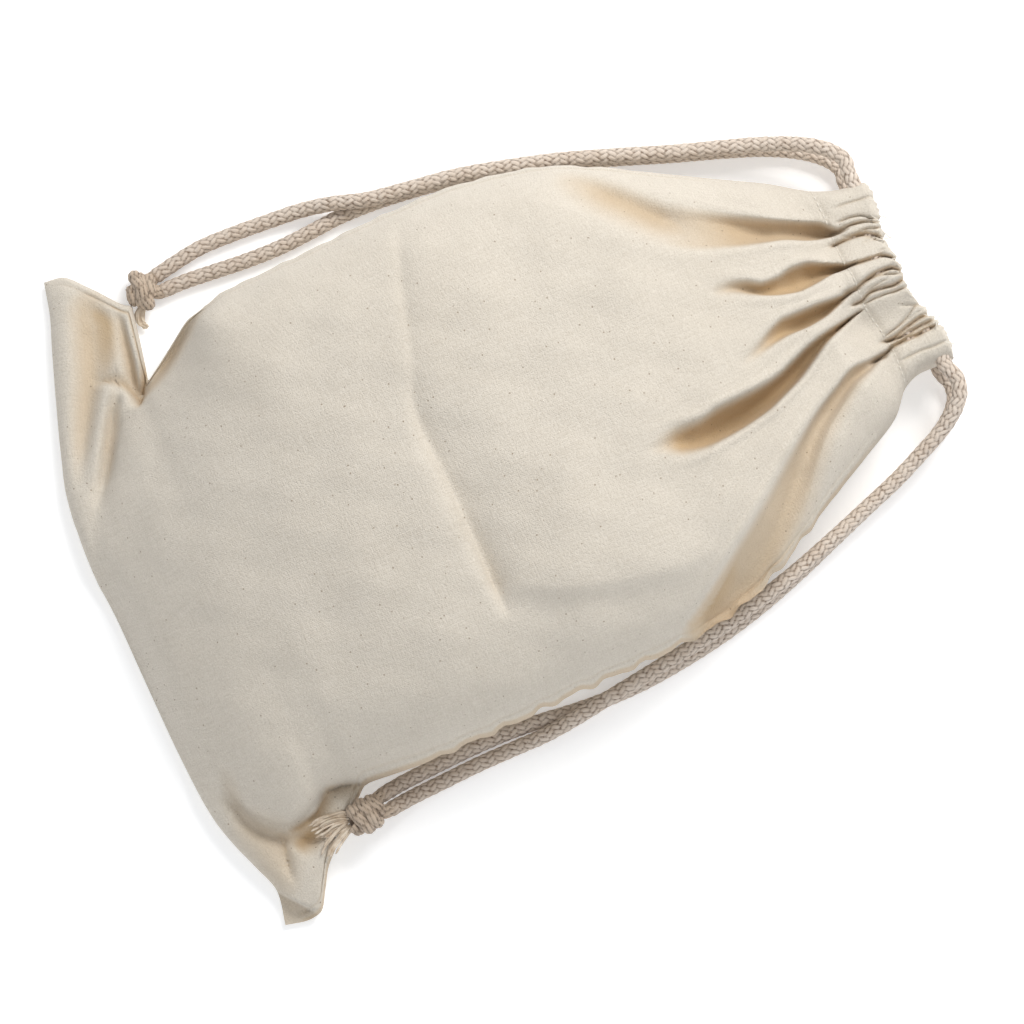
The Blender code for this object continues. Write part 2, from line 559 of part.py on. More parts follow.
def make_tail(name, route, collection, material):
    """A short frayed end: a flattened tube along its route, whose rows are x, y, z, half width, half
    height. It is a loft of ellipses, closed at both ends."""
    rows = route_points(route, 7)
    sides = 10
    middle, half = rows[:, :3], rows[:, 3:5]
    ahead = np.gradient(middle, axis=0)
    ahead /= np.linalg.norm(ahead, axis=1, keepdims=True)
    wide = np.cross(ahead, (0, 0, 1))
    wide /= np.linalg.norm(wide, axis=1, keepdims=True)
    tall = np.cross(wide, ahead)
    angle = np.linspace(0, 2 * math.pi, sides, endpoint=False)
    ring = (middle[:, None] + np.cos(angle)[None, :, None] * half[:, :1, None] * wide[:, None]
            + np.sin(angle)[None, :, None] * half[:, 1:, None] * tall[:, None])
    faces = []
    for i in range(len(rows) - 1):
        for k in range(sides):
            m = (k + 1) % sides
            faces.append([sides * i + k, sides * i + m, sides * (i + 1) + m, sides * (i + 1) + k])
    faces += [list(range(sides))[::-1], [sides * (len(rows) - 1) + k for k in range(sides)]]
    tail = mesh_object(name, ring.reshape(-1, 3), faces, collection)
    tail.data.materials.append(material)
    return tail


KNOTS = {
    "knot_left": ((-150.0, 76.6, 7.0), (9.4, 7.8, 6.4)),
    "knot_right": ((141.3, 73.2, 17.6), (9.3, 10.8, 7.6)),
}
TAILS = {
    "tail_left": ((-141.3, 73.2, 3.6, 3.0, 2.6), (-137.6, 72.0, 3.4, 3.2, 2.7), (-133.6, 70.4, 3.2, 2.4, 2.2)),
    "tail_right": ((140.2, 61.8, 17.0, 4.8, 3.2), (140.8, 54.5, 16.6, 7.2, 2.8), (142.6, 46.5, 16.2, 8.8, 1.8)),
}


def main():
    for thing in list(bpy.data.objects):
        bpy.data.objects.remove(thing, do_unlink=True)
    parts = bpy.data.collections.new("drawstring_bag")
    tools = bpy.data.collections.new("cutters")
    bpy.context.scene.collection.children.link(parts)
    bpy.context.scene.collection.children.link(tools)

    cotton = make_material("unbleached cotton", (.72, .66, .55), .9)
    points, faces = bag_mesh()
    bag = mesh_object("bag_cloth", points, faces, parts)
    bag.data.materials.append(cotton)
    cut(bag, [channel_cutter("front channel", 1, tools), channel_cutter("back channel", -1, tools),
              well_cutter("left well", -1, tools), well_cutter("right well", 1, tools)])

    braid = make_material("braided cotton", (.62, .52, .42), .95)
    make_cord("cord_left", -1, parts, braid)
    make_cord("cord_right", 1, parts, braid)
    for name, (centre, radii) in KNOTS.items():
        make_knot(name, centre, radii, parts, braid)
    for name, route in TAILS.items():
        make_tail(name, route, parts, braid)


main()
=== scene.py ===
# %% [markdown]
# # A cotton drawstring backpack
# The bag is two panels of unbleached cotton, sewn at the sides and folded at the bottom. Its top edge is
# turned down into a hem, and two braided cords run through that hem from opposite sides. Each cord goes
# right round the mouth and back to its own side, where its two ends are tied in one knot near a bottom
# corner, so that the pair of strands becomes a shoulder strap. Here the bag lies on its back, softly
# filled, with the mouth drawn shut. The script makes the cords first, then their knots and frayed ends,
# then the cloth with its folds, the hem's stitches, and last the materials and the body the pieces ride on.

# %% Frame and tools
import math

import bpy
import numpy as np
from mathutils import Matrix, Vector


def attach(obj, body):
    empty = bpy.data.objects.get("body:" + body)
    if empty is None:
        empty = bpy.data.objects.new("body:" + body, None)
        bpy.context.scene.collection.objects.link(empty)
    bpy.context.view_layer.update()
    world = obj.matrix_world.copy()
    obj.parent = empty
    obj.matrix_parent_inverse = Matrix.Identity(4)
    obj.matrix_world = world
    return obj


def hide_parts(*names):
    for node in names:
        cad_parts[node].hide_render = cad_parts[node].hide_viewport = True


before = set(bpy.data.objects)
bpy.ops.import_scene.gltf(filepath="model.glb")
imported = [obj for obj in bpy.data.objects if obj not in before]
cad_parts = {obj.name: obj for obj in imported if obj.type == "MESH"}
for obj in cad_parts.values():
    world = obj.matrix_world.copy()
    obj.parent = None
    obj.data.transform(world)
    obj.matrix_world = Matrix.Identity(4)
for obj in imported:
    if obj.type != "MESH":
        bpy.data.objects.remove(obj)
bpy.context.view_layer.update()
MM = 0.001

# %% [markdown]
# ## Camera, floor and light
# The camera comes first, because everything is judged from where it stands. It looks down on the bag from
# high above, nearly straight, from far away with a long lens, so lengths stay true. An area light overhead
# from the mouth's side gives soft shade in the folds; a second one and a pale sky fill the rest in.

# %% Camera
VIEW_TURN = 65.9        # degrees that the camera is turned about the vertical
VIEW_RISE = 83.75       # degrees above the horizon
VIEW_DISTANCE = 1.8
VIEW_WIDTH = 0.5125     # what the frame spans at the bag's height, in metres
VIEW_POINT = (0.0324, -0.01505, 0.030)
SENSOR = 36.0

turn, rise = math.radians(VIEW_TURN), math.radians(VIEW_RISE)
right = np.array([math.cos(turn), math.sin(turn), 0])
level = np.array([-math.sin(turn), math.cos(turn), 0])
forward = level * math.cos(rise) - np.array([0, 0, 1]) * math.sin(rise)
upward = np.cross(right, forward)
place = np.array(VIEW_POINT) - VIEW_DISTANCE * forward
camera_data = bpy.data.cameras.new("camera")
camera_data.sensor_width = SENSOR
camera_data.lens = SENSOR * VIEW_DISTANCE / VIEW_WIDTH
camera = bpy.data.objects.new("camera", camera_data)
camera.matrix_world = Matrix([*np.column_stack([right, upward, -forward, place]).tolist(), (0, 0, 0, 1)])
scene = bpy.context.scene
scene.collection.objects.link(camera)
scene.camera = camera
print(f"camera: {camera_data.lens:.0f} mm lens, {VIEW_RISE} degrees above the floor")

# %% Floor and lights
FLOOR_HALF = 6.0
FLOOR_DROP = 0.0004     # keeps the floor's face from meeting the bag's own
FLOOR_GLOW = 0.30       # a little light from below, as on a light table
SKY_COLOUR = (0.95, 0.97, 1.0, 1)
SKY_STRENGTH = 0.56
bpy.ops.mesh.primitive_plane_add(size=2 * FLOOR_HALF, location=(0, 0, -FLOOR_DROP))
floor = bpy.context.object
floor.name = "floor"
paper = bpy.data.materials.new("white paper")
paper.use_nodes = True
paper_shader = paper.node_tree.nodes["Principled BSDF"]
paper_shader.inputs["Base Color"].default_value = (0.90, 0.90, 0.90, 1)
paper_shader.inputs["Roughness"].default_value = 0.9
paper_shader.inputs["Emission Color"].default_value = (1, 1, 1, 1)
paper_shader.inputs["Emission Strength"].default_value = FLOOR_GLOW
floor.data.materials.append(paper)


def soft_light(name, place, size, power, colour):
    """A square area light that points at the bag."""
    lamp = bpy.data.lights.new(name, "AREA")
    lamp.size = size
    lamp.energy = power
    lamp.color = colour
    thing = bpy.data.objects.new(name, lamp)
    facing = Vector(place).to_track_quat("Z", "Y")
    thing.matrix_world = Matrix.Translation(place) @ facing.to_matrix().to_4x4()
    scene.collection.objects.link(thing)
    return thing


key = soft_light("key light", place=(-0.80, 1.05, 1.35), size=0.75, power=25.0, colour=(1.0, 0.985, 0.96))
fill = soft_light("fill light", place=(1.2, -0.6, 1.6), size=1.6, power=7.0, colour=(0.95, 0.98, 1.0))
world = bpy.data.worlds.new("pale sky")
scene.world = world
world.use_nodes = True
world.node_tree.nodes["Background"].inputs["Color"].default_value = SKY_COLOUR
world.node_tree.nodes["Background"].inputs["Strength"].default_value = SKY_STRENGTH
scene.view_settings.view_transform = "Standard"
print("lights:", key.name, key.data.energy, "W,", fill.name, fill.data.energy, "W")

# %% [markdown]
# ## Curves and tables
# Every shape here is a formula fed by short tables, in millimetres. A few helpers draw smooth curves through
# a table's rows without overshooting them; another fades a value out. Splines in Blender could do the same,
# but a plain function can be asked for thousands of points at once.

# %% Smooth curves through a table
CENTRE = (0.85, 216.75)     # middle of the bag in the tables' millimetres, which is the origin of the frame


def cubic(t, step, start, start_slope, end, end_slope):
    """Cubic from start to end with its slopes there, over a step along which t goes from 0 to 1."""
    return ((1 + 2 * t) * (1 - t) ** 2 * start + t * (1 - t) ** 2 * step * start_slope
            + t * t * (3 - 2 * t) * end + t * t * (t - 1) * step * end_slope)


def curve_through(keys, values, at):
    """Smooth curve through (keys, values) that never overshoots them: cubic pieces whose slope at a point
    is the harmonic mean of the slopes on its two sides, and zero at a peak."""
    keys = np.asarray(keys, float)
    values = np.asarray(values, float)
    at = np.clip(np.asarray(at, float), keys[0], keys[-1])
    step = np.diff(keys)
    rise = np.diff(values) / step
    slope = np.concatenate([rise[:1], np.zeros(len(keys) - 2), rise[-1:]])
    left, right = rise[:-1], rise[1:]
    same = left * right > 0
    slope[1:-1][same] = 2 * left[same] * right[same] / (left[same] + right[same])
    i = np.clip(np.searchsorted(keys, at) - 1, 0, len(step) - 1)
    return cubic((at - keys[i]) / step[i], step[i], values[i], slope[i], values[i + 1], slope[i + 1])


def table_curve(table, at, index=1):
    """Smooth curve through a table: one of its columns against its first one."""
    columns = list(zip(*table))
    return curve_through(columns[0], columns[index], at)


def rows_curve(rows, at):
    """Smooth curves through all columns of some rows at once; at counts the rows."""
    return np.stack([curve_through(range(len(rows)), values, at) for values in rows.T], -1)


def points_at(at, run, points):
    """Points of a chain at some lengths along it."""
    return np.stack([np.interp(at, run, values) for values in points.T], -1)


def fade(value, start, end):
    """1 before start, 0 after end, smooth between."""
    t = np.clip((np.asarray(value, float) - start) / (end - start), 0, 1)
    return 1 - t * t * (3 - 2 * t)


def start_of(value, reach):
    """1 at 0 and 0 from reach on, straight between."""
    return np.clip(1 - value / reach, 0, 1)


def to_frame(points):
    """Points of the tables, in metres about the frame's origin."""
    points = np.array(points, float)
    points[..., 0] -= CENTRE[0]
    points[..., 1] -= CENTRE[1]
    return points * MM


# %% Seams, fold and mouth of the bag
ROW_LENGTH = 430.0
CASING_START = 0.947        # share of the way up at which the hem begins
MOUTH_SIDE_HEIGHT = 36.0
MOUTH_RISE = 14.5           # how much higher the mouth is in its middle
TURN_HALF = 25.0            # half of the stretch of the mouth over which the two cords swap lanes
# Side seams from the bottom corner to the mouth: share of the way up, x, y, height above the surface.
LEFT_SEAM = (
    (0, -175, 32.5, 3), (.018, -174, 41, 3), (.05, -163, 52.5, 3.5), (.092, -146.5, 66.5, 5),
    (.19, -138.5, 86, 8), (.29, -131.5, 103, 22), (.34, -129, 127, 30), (.41, -129.5, 160, 34),
    (.50, -130.5, 203, 36), (.56, -130.5, 230, 36), (.62, -127.5, 257, 35), (.68, -121.5, 285, 33),
    (.74, -110.5, 311, 30), (.80, -95.5, 338, 27), (.86, -80.5, 365, 24), (.91, -68, 388, 21),
    (.951, -53.5, 410, 19), (.975, -50, 421, 18), (1, -48.5, 433.5, 18))
RIGHT_SEAM = (
    (0, 174.5, 14, 3), (.03, 177, 26.5, 3), (.045, 176, 32.5, 4), (.07, 166.5, 39.5, 5),
    (.10, 157, 45.5, 6), (.13, 148, 55, 7), (.16, 139, 66, 8), (.185, 131.5, 73.5, 10), (.205, 127, 80.5, 13),
    (.235, 128.5, 95, 20), (.30, 131.5, 125, 30), (.37, 132, 157, 34), (.45, 131, 192, 36),
    (.53, 131, 228, 36), (.60, 130, 258, 35), (.66, 125.5, 285, 33), (.71, 117, 309, 31),
    (.76, 104.5, 332, 28), (.81, 91, 355, 26), (.86, 79.5, 377, 24), (.91, 68, 398, 21),
    (.951, 55, 411, 19), (.975, 52, 421, 18), (1, 52.5, 437, 18))
# Bottom fold and mouth edge: x, y.
BOTTOM_FOLD = ((-175, 32.5), (-158, 28.5), (-141, 22.5), (-113, 13), (-88, 5), (-68, -.5), (-50, -2.5),
               (-20, -2), (60, -1), (95, .5), (112, 2.5), (127, 6.5), (142, 12), (158, 17), (174.5, 14))
MOUTH_EDGE = ((-48.5, 433.5), (-30, 431), (-8, 428), (10, 428), (26, 433), (36, 436),
              (52.5, 437))


def turn_share(x):
    """How far the two cords have passed over each other at x, from 0 at the left to 1 at the right."""
    return 1 - fade(x, -TURN_HALF, TURN_HALF)


def mouth_bump(x):
    """1 where the two cords lie above each other in the middle of the mouth, 0 at its ends."""
    return np.sin(math.pi * turn_share(x))


def mouth_edge(x):
    """y of the mouth's edge at x."""
    return table_curve(MOUTH_EDGE, x)


def mouth_height(x):
    """Height of the plain hem at x."""
    return MOUTH_SIDE_HEIGHT + MOUTH_RISE * mouth_bump(x)


print("mouth width, mm:", MOUTH_EDGE[-1][0] - MOUTH_EDGE[0][0])

# %% [markdown]
# ## The two drawcords
# Each cord is one loop of braided cotton about 8 mm thick and nearly a metre long from knot to knot. It runs
# up the side of the bag as a pair of strands, goes in at one end of the hem, crosses the front, bends back
# at the far end and returns through the back of the hem. Its route is a list of given points that a
# smooth curve joins; inside the hem, the route follows the mouth, and the two cords swap lanes in the middle.

# %% Route of a cord
CORD_DIAMETER = 7.6
LANE = 4.9                  # from the middle of a channel to each of its two cords
CHANNEL_EXIT = 55.0
CHANNEL_STEPS = 13
CHANNEL_WIDTH = 2 * (LANE + CORD_DIAMETER / 2 + 0.6)
CHANNEL_HEIGHT = CORD_DIAMETER + 2.6
CHANNEL_EXTRA = CHANNEL_WIDTH - CHANNEL_HEIGHT + 2.0    # added where the cords lie above each other
CHANNEL_SKIN = 1.6          # cloth between a channel and the outside
CHANNEL_FLOOR = 1.3         # cloth between a channel and the inside
CHANNEL_INSET = CHANNEL_WIDTH / 2 + 1.5
WELL_OUTER = 47.4           # at each end of the mouth, a well in which one cord turns back
WELL_INNER = 26.0
TURN_RADIUS = 11.6
TURN_CENTRE = WELL_OUTER - 0.5 - CORD_DIAMETER / 2 - TURN_RADIUS
TURN_LEAD = 3.0
CORD_REST = CORD_DIAMETER / 2 + 0.1
# Free stretch of each pair, from the knot to the mouth: x and y of the pair's middle, half of the distance
# between its strands, how far it is turned up from lying flat, in degrees, and its lift off the surface.
LEFT_PAIR = ((-150, 84.7, 4.1, 0, .4), (-151.2, 97, 5.3, 0, .1), (-151.7, 112, 7, 0, 0),
             (-150.7, 130, 7.7, 0, 0), (-149.6, 150, 7.4, 0, 0), (-149, 168, 6, 10, 0),
             (-147.4, 184, 4.5, 45, 0), (-144.6, 200, 4.2, 80, 0), (-142, 220, 4.2, 90, 0),
             (-138.2, 245, 4.2, 90, 0), (-131.6, 272, 4.2, 90, 0), (-124, 298, 4.2, 90, 0),
             (-114, 326, 4.2, 90, 0), (-103.5, 354, 4.3, 90, 0), (-95.1, 378, 5, 90, .1),
             (-87.6, 397, 6.4, 90, .4), (-81, 409.5, 8.4, 90, 1), (-75, 418, 10.2, 90, 1.7),
             (-68.5, 424.6, 11.2, 90, 2.3), (-61.5, 428.4, 11.6, 90, 2.5))
RIGHT_PAIR = ((139.6, 83.9, 4.1, 0, 11.5), (137.9, 97, 4.3, 0, 3.5), (136.9, 116, 4.4, 0, .4),
              (136.2, 136, 4.4, 0, 0), (136.4, 156, 4.4, 8, 0), (137.2, 172, 4.4, 30, 0),
              (137.6, 188, 4.4, 60, 0), (137.2, 205, 4.3, 85, 0), (136, 226, 4.3, 105, 0),
              (133.4, 250, 4.3, 113, 0), (129.4, 276, 4.3, 113, 0), (124.6, 298, 4.3, 108, 0),
              (117.9, 322, 4.3, 100, 0), (110.3, 345, 4.3, 93, 0), (102.4, 368, 4.5, 90, 0),
              (95.5, 388, 5.2, 90, .1), (89.2, 403, 6.4, 90, .4), (82.8, 417, 8.4, 90, 1),
              (76.6, 426.3, 10.2, 90, 1.8), (69.8, 431.9, 11.2, 90, 2.4), (62, 433.4, 11.6, 90, 2.5))


def channel_middle(x, side):
    """Height of a channel's middle and its own height at x; side is 1 in front and -1 at the back."""
    tall = CHANNEL_HEIGHT + CHANNEL_EXTRA * mouth_bump(x)
    low = CHANNEL_SKIN + tall / 2
    return np.where(side > 0, mouth_height(x) - low, low), tall


def channel_line(x):
    """y of the middle of both channels at x."""
    return mouth_edge(x) - CHANNEL_INSET


def channel_route(left_lane, side, x_from, x_to):
    """A cord's points in a channel. It lies in the upper (1) or lower (-1) lane at the left and passes
    over or under the other cord, half a turn round the channel's middle, to the other lane."""
    x = np.linspace(x_from, x_to, CHANNEL_STEPS)
    turn = math.pi * turn_share(x)
    y = channel_line(x) + LANE * left_lane * np.cos(turn)
    z = channel_middle(x, side)[0] + LANE * left_lane * np.sin(turn)
    return np.stack([x, y, z], 1).tolist()


def turn_route(side):
    """Half circle in the well, from the front channel to the back one, without its two ends."""
    high = float(channel_middle(side * TURN_CENTRE, 1)[0])
    low = float(channel_middle(side * TURN_CENTRE, -1)[0])
    lane = float(channel_line(side * (WELL_OUTER + WELL_INNER) / 2)) - LANE
    points = []
    for degrees in range(0, 181, 30):
        angle = math.radians(degrees)
        points.append((side * (TURN_CENTRE + TURN_RADIUS * math.sin(angle)), lane,
                       (high + low) / 2 + (high - low) / 2 * math.cos(angle)))
    return points


def strand_route(pair, side, upper):
    """One strand (upper is 1 or -1) of a pair. It lies half the pair's distance from the middle, outwards
    or inwards when the pair is flat, above or below when it is turned up."""
    x, y, half, turn, lift = np.array(pair, float).T
    turn = np.radians(turn)
    ahead = np.stack([np.gradient(x), np.gradient(y)])
    ahead /= np.linalg.norm(ahead, axis=0)
    reach = upper * half * np.cos(turn)
    z = CORD_REST + lift + half * np.abs(np.sin(turn)) + upper * half * np.sin(turn)
    return np.stack([x + side * reach * ahead[1], y - side * reach * ahead[0], z], 1).tolist()


def cord_route(side):
    """One cord from its knot round through both channels and back to its knot. side is -1 for the cord
    tied at the left, which lies in the upper lane there, and 1 for the one tied at the right."""
    pair = LEFT_PAIR if side < 0 else RIGHT_PAIR
    left_lane = 1 if side < 0 else -1
    near, far = side * CHANNEL_EXIT, -side * (TURN_CENTRE - TURN_LEAD)
    there = channel_route(left_lane, 1, near, far)
    again = channel_route(left_lane, -1, near, far)
    over, under = strand_route(pair, side, 1), strand_route(pair, side, -1)
    return over + there + turn_route(-side) + again[::-1] + under[::-1]


# %% Smooth path
FINE_STEPS = 12000


def run_along(path):
    """Length from the start of a path to each of its points."""
    return np.concatenate([[0], np.cumsum(np.linalg.norm(np.diff(path, axis=0), axis=1))])


def smooth_path(points, spacing):
    """Evenly spaced points on a smooth curve through the given ones. The curve is made of cubic pieces whose
    slope at a point is the difference of its neighbours, over the square root of their distances."""
    points = np.asarray(points, float)
    chord = np.concatenate([[0], np.cumsum(np.sqrt(np.linalg.norm(np.diff(points, axis=0), axis=1)))])
    tangent = np.gradient(points, chord, axis=0)
    fine = np.linspace(0, chord[-1], FINE_STEPS)
    i = np.clip(np.searchsorted(chord, fine) - 1, 0, len(chord) - 2)
    step = (chord[i + 1] - chord[i])[:, None]
    t = ((fine - chord[i]) / step[:, 0])[:, None]
    curve = cubic(t, step, points[i], tangent[i], points[i + 1], tangent[i + 1])
    run = run_along(curve)
    at = np.linspace(0, run[-1], max(2, int(round(run[-1] / spacing)) + 1))
    return points_at(at, run, curve)


CORD_STEP = 0.62
paths = {"left": smooth_path(cord_route(-1), CORD_STEP), "right": smooth_path(cord_route(1), CORD_STEP)}

# %% [markdown]
# ### The braid
# A braid like this has sixteen strands: eight wind one way, eight the other, and each passes over two and
# under two. Modelling the strands as separate tubes would cost millions of faces. Instead the cord is one
# tube whose surface is pushed out where a strand bulges. Two slanted coordinates count the strands of each
# direction, their whole numbers say which strand is on top, and their remainders say where on it we are.

# %% Frames along a path and the braid's relief
BRAID_STRANDS = 8       # in each of the two directions
BRAID_PITCH = 33.0      # length of one full turn of a strand
BRAID_RELIEF = 0.66     # depth of the gaps between strands
BRAID_SIDES = 40
STRAND_ENDS = 0.35      # height of a strand where it dives under another, against 1 on its crest
ARCH_SHAPE = 0.7        # under 1 for a strand that is flat on top


def path_frames(path):
    """Two unit vectors across the path at each point. The first is carried along the path with the least
    turning: at each step, what points along the path is taken out of it."""
    ahead = np.gradient(path, axis=0)
    ahead /= np.linalg.norm(ahead, axis=1, keepdims=True)
    first = np.empty_like(path)
    carried = np.cross(ahead[0], (0.3, 0.2, 0.93))
    for i, direction in enumerate(ahead):
        carried = carried - direction * carried.dot(direction)
        carried = carried / np.linalg.norm(carried)
        first[i] = carried
    return ahead, first, np.cross(ahead, first)


def braid_relief(angle, run, strands, pitch):
    """Height of the braid from 0 in a gap to 1 on a strand, with the place on the strand. up and down count
    the strands of the two directions, from the angle round the cord and the length along it. Four cases in
    turn say which one is on top; it is arched across its width and along its length over two others."""
    up = strands * angle / (2 * math.pi) - strands * run / pitch
    down = strands * angle / (2 * math.pi) + strands * run / pitch
    which = np.mod(np.floor(up) - np.floor(down), 4)
    over = which < 2
    across = np.where(over, np.mod(up, 1), np.mod(down, 1)) - 0.5
    along = np.where(over, 1 - which + np.mod(down, 1), which - 2 + np.mod(up, 1)) / 2
    crest = STRAND_ENDS + (1 - STRAND_ENDS) * np.sin(math.pi * along) ** ARCH_SHAPE
    return np.sqrt(np.clip(1 - (2 * across) ** 2, 0, 1)) * crest, across, along


def add_mesh(name, points, faces, layer=None, **values):
    """Object from points in metres and faces, with its UV layer and its named values, one for each point."""
    mesh = bpy.data.meshes.new(name)
    mesh.from_pydata(points.tolist(), [], faces if isinstance(faces, list) else faces.tolist())
    if layer is not None:
        corner = np.empty(len(mesh.loops), np.int32)
        mesh.loops.foreach_get("vertex_index", corner)
        mesh.uv_layers.new(name="weave").data.foreach_set("uv", layer[corner].ravel().astype(np.float32))
    for key, value in values.items():
        mesh.attributes.new(key, "FLOAT", "POINT").data.foreach_set("value", value.ravel().astype(np.float32))
    mesh.shade_smooth()
    thing = bpy.data.objects.new(name, mesh)
    scene.collection.objects.link(thing)
    return thing


def tube_faces(rings, sides, first=0):
    """Quads between the rings of a tube, and a face with all the points of a ring at each end."""
    ids = first + np.arange(rings * sides).reshape(rings, sides)
    onward = np.roll(ids, -1, 1)
    quads = np.stack([ids[:-1], onward[:-1], onward[1:], ids[1:]], -1).reshape(-1, 4)
    return quads.tolist() + [ids[0, ::-1].tolist(), ids[-1].tolist()]


def braided_tube(path, radius, strands=BRAID_STRANDS, pitch=BRAID_PITCH, sides=BRAID_SIDES, first=0,
                 squeeze=None):
    """Points, faces, strand coordinates and gap depth of a braided tube round a path. squeeze, a factor for
    each ring, makes it thinner in places."""
    ahead, one, other = path_frames(path)
    run = run_along(path)
    angle = np.linspace(0, 2 * math.pi, sides, endpoint=False)
    grid_run, grid_angle = np.meshgrid(run, angle, indexing="ij")
    height, across, along = braid_relief(grid_angle, grid_run, strands, pitch)
    reach = radius - BRAID_RELIEF * (1 - height)
    reach = reach * (1 if squeeze is None else squeeze[:, None])
    points = (path[:, None] + reach[..., None] * (np.cos(grid_angle)[..., None] * one[:, None]
                                                 + np.sin(grid_angle)[..., None] * other[:, None]))
    return (points.reshape(-1, 3), tube_faces(len(path), sides, first),
            np.stack([across, along], -1).reshape(-1, 2), 1 - height.ravel())


# %% The two braided cords
BRAID_OUTER = 4.05      # the strands' crests stand a little proud of the plain cord
END_TAPER = 4           # rings over which a cord's end is drawn in under its knot
END_SLIM = 0.6
CORD_LOWEST = 0.02      # the surface presses the lowest strands flat
HANDLED = {"left": 0.35, "right": 0.6}      # how much a cord has darkened at its knot
HANDLED_REACH = 60.0    # and how far from the knot that fades
braids = {}
for side, path in paths.items():
    squeeze = np.ones(len(path))
    squeeze[:END_TAPER] = np.linspace(END_SLIM, 1, END_TAPER)
    squeeze[-END_TAPER:] = squeeze[:END_TAPER][::-1]
    points, faces, strand, gap = braided_tube(path, BRAID_OUTER, squeeze=squeeze)
    points[:, 2] = np.maximum(points[:, 2], CORD_LOWEST)
    run = run_along(path)
    handled = HANDLED[side] * np.exp(-np.minimum(run, run[-1] - run) / HANDLED_REACH)
    braids[side] = add_mesh("drawcord_" + side, to_frame(points), faces, strand, gap=gap,
                            handled=np.repeat(handled, BRAID_SIDES))
    print(braids[side].name, len(points), "points")

# %% [markdown]
# ### Knots and frayed ends
# The two ends of a cord are tied together in one overhand knot, pulled tight until its turns press into each
# other. A true knot curve would be hard to steer, so each knot here is a few turns of the same braid wound
# round the pair, the two strands that run into it, and a plain core that fills the inside. On the left knot
# a band lies across the turns on a slant. Below the knot the braid has come undone: the ends are loose
# bundles of thin yarn, some long and some short.

# %% Knots
# Each knot: centre, half sizes, turn about the vertical in degrees, number of turns, and whether a band
# crosses them.
KNOTS = {
    "left": ((-150.0, 76.6, 7.0), (9.6, 8.4, 6.6), -28, 2.2, True),
    "right": ((141.3, 73.2, 17.6), (9.6, 11.4, 7.8), 10, 3.1, False),
}
WRAP_RADIUS = 3.6       # of the braid in the turns
WRAP_START = 0.6        # angle at which the turns begin
WRAP_STEPS = 46         # points in each turn
WRAP_TUCK = 0.55        # how far the two ends of the winding are drawn in
WRAP_TUCK_REACH = 1 / 6
WRAP_SLIM = 0.35        # the first and the last turn are narrower than the middle one
BAND_OVERLAP = 0.25     # angle by which the band goes on past the sides of the knot
BAND_INSET = 0.8        # how deep its middle lies in the turns, as a share of their radius
BAND_SLANT = 0.75
KNOT_PITCH = 40         # pulled tight, the braid is drawn out
KNOT_SIDES = 32
STUB_OVERLAP = 3.0      # how far a strand of the knot reaches into the cord
STUB_STEP = 0.8
STUB_SQUEEZE = 0.93
CORE_INSET = 2.6        # the core lies this far inside the turns
CORE_ENDS = 0.06        # share of the core's length left off at each of its poles
CORE_SHADE = 0.8        # painted shade: how dark the core is, against 1 for a gap of the braid
KNOT_LOWEST = 0.15


def turned(points, degrees):
    """Points turned about the vertical."""
    c, s = math.cos(math.radians(degrees)), math.sin(math.radians(degrees))
    x, y, z = points.T
    return np.stack([c * x - s * y, s * x + c * y, z], 1)


def knot_wraps(half, turns):
    """Winding of the knot: a helix round the y axis, squeezed to the knot's width and height, its ends bent
    in towards the axis."""
    t = np.linspace(0, 1, int(WRAP_STEPS * turns))
    angle = 2 * math.pi * turns * t + WRAP_START
    room = np.array(half) - WRAP_RADIUS
    tuck = 1 - WRAP_TUCK * start_of(t, WRAP_TUCK_REACH) - WRAP_TUCK * start_of(1 - t, WRAP_TUCK_REACH)
    slim = np.sqrt(1 - WRAP_SLIM * (2 * t - 1) ** 2)
    return room * np.stack([tuck * slim * np.cos(angle), 1 - 2 * t, tuck * slim * np.sin(angle)], 1)


def knot_band(half):
    """Band that crosses the turns on a slant: half an ellipse over the top of the knot."""
    angle = np.linspace(-BAND_OVERLAP, math.pi + BAND_OVERLAP, WRAP_STEPS)
    room = np.array(half) - WRAP_RADIUS * BAND_INSET
    shape = [np.cos(angle), BAND_SLANT * np.cos(angle), np.sin(angle)]
    return room * np.stack(shape, 1)


def core(half, rings=14, sides=20, first=0):
    """Ellipsoid as a tube of rings whose radius follows a half circle."""
    t = np.linspace(CORE_ENDS, 1 - CORE_ENDS, rings)
    angle = np.linspace(0, 2 * math.pi, sides, endpoint=False)
    ring = np.sin(math.pi * t)[:, None]
    points = np.stack([half[0] * ring * np.cos(angle), -half[1] * np.cos(math.pi * t)[:, None] + 0 * angle,
                       -half[2] * ring * np.sin(angle)], -1)
    return points.reshape(-1, 3), tube_faces(rings, sides, first)


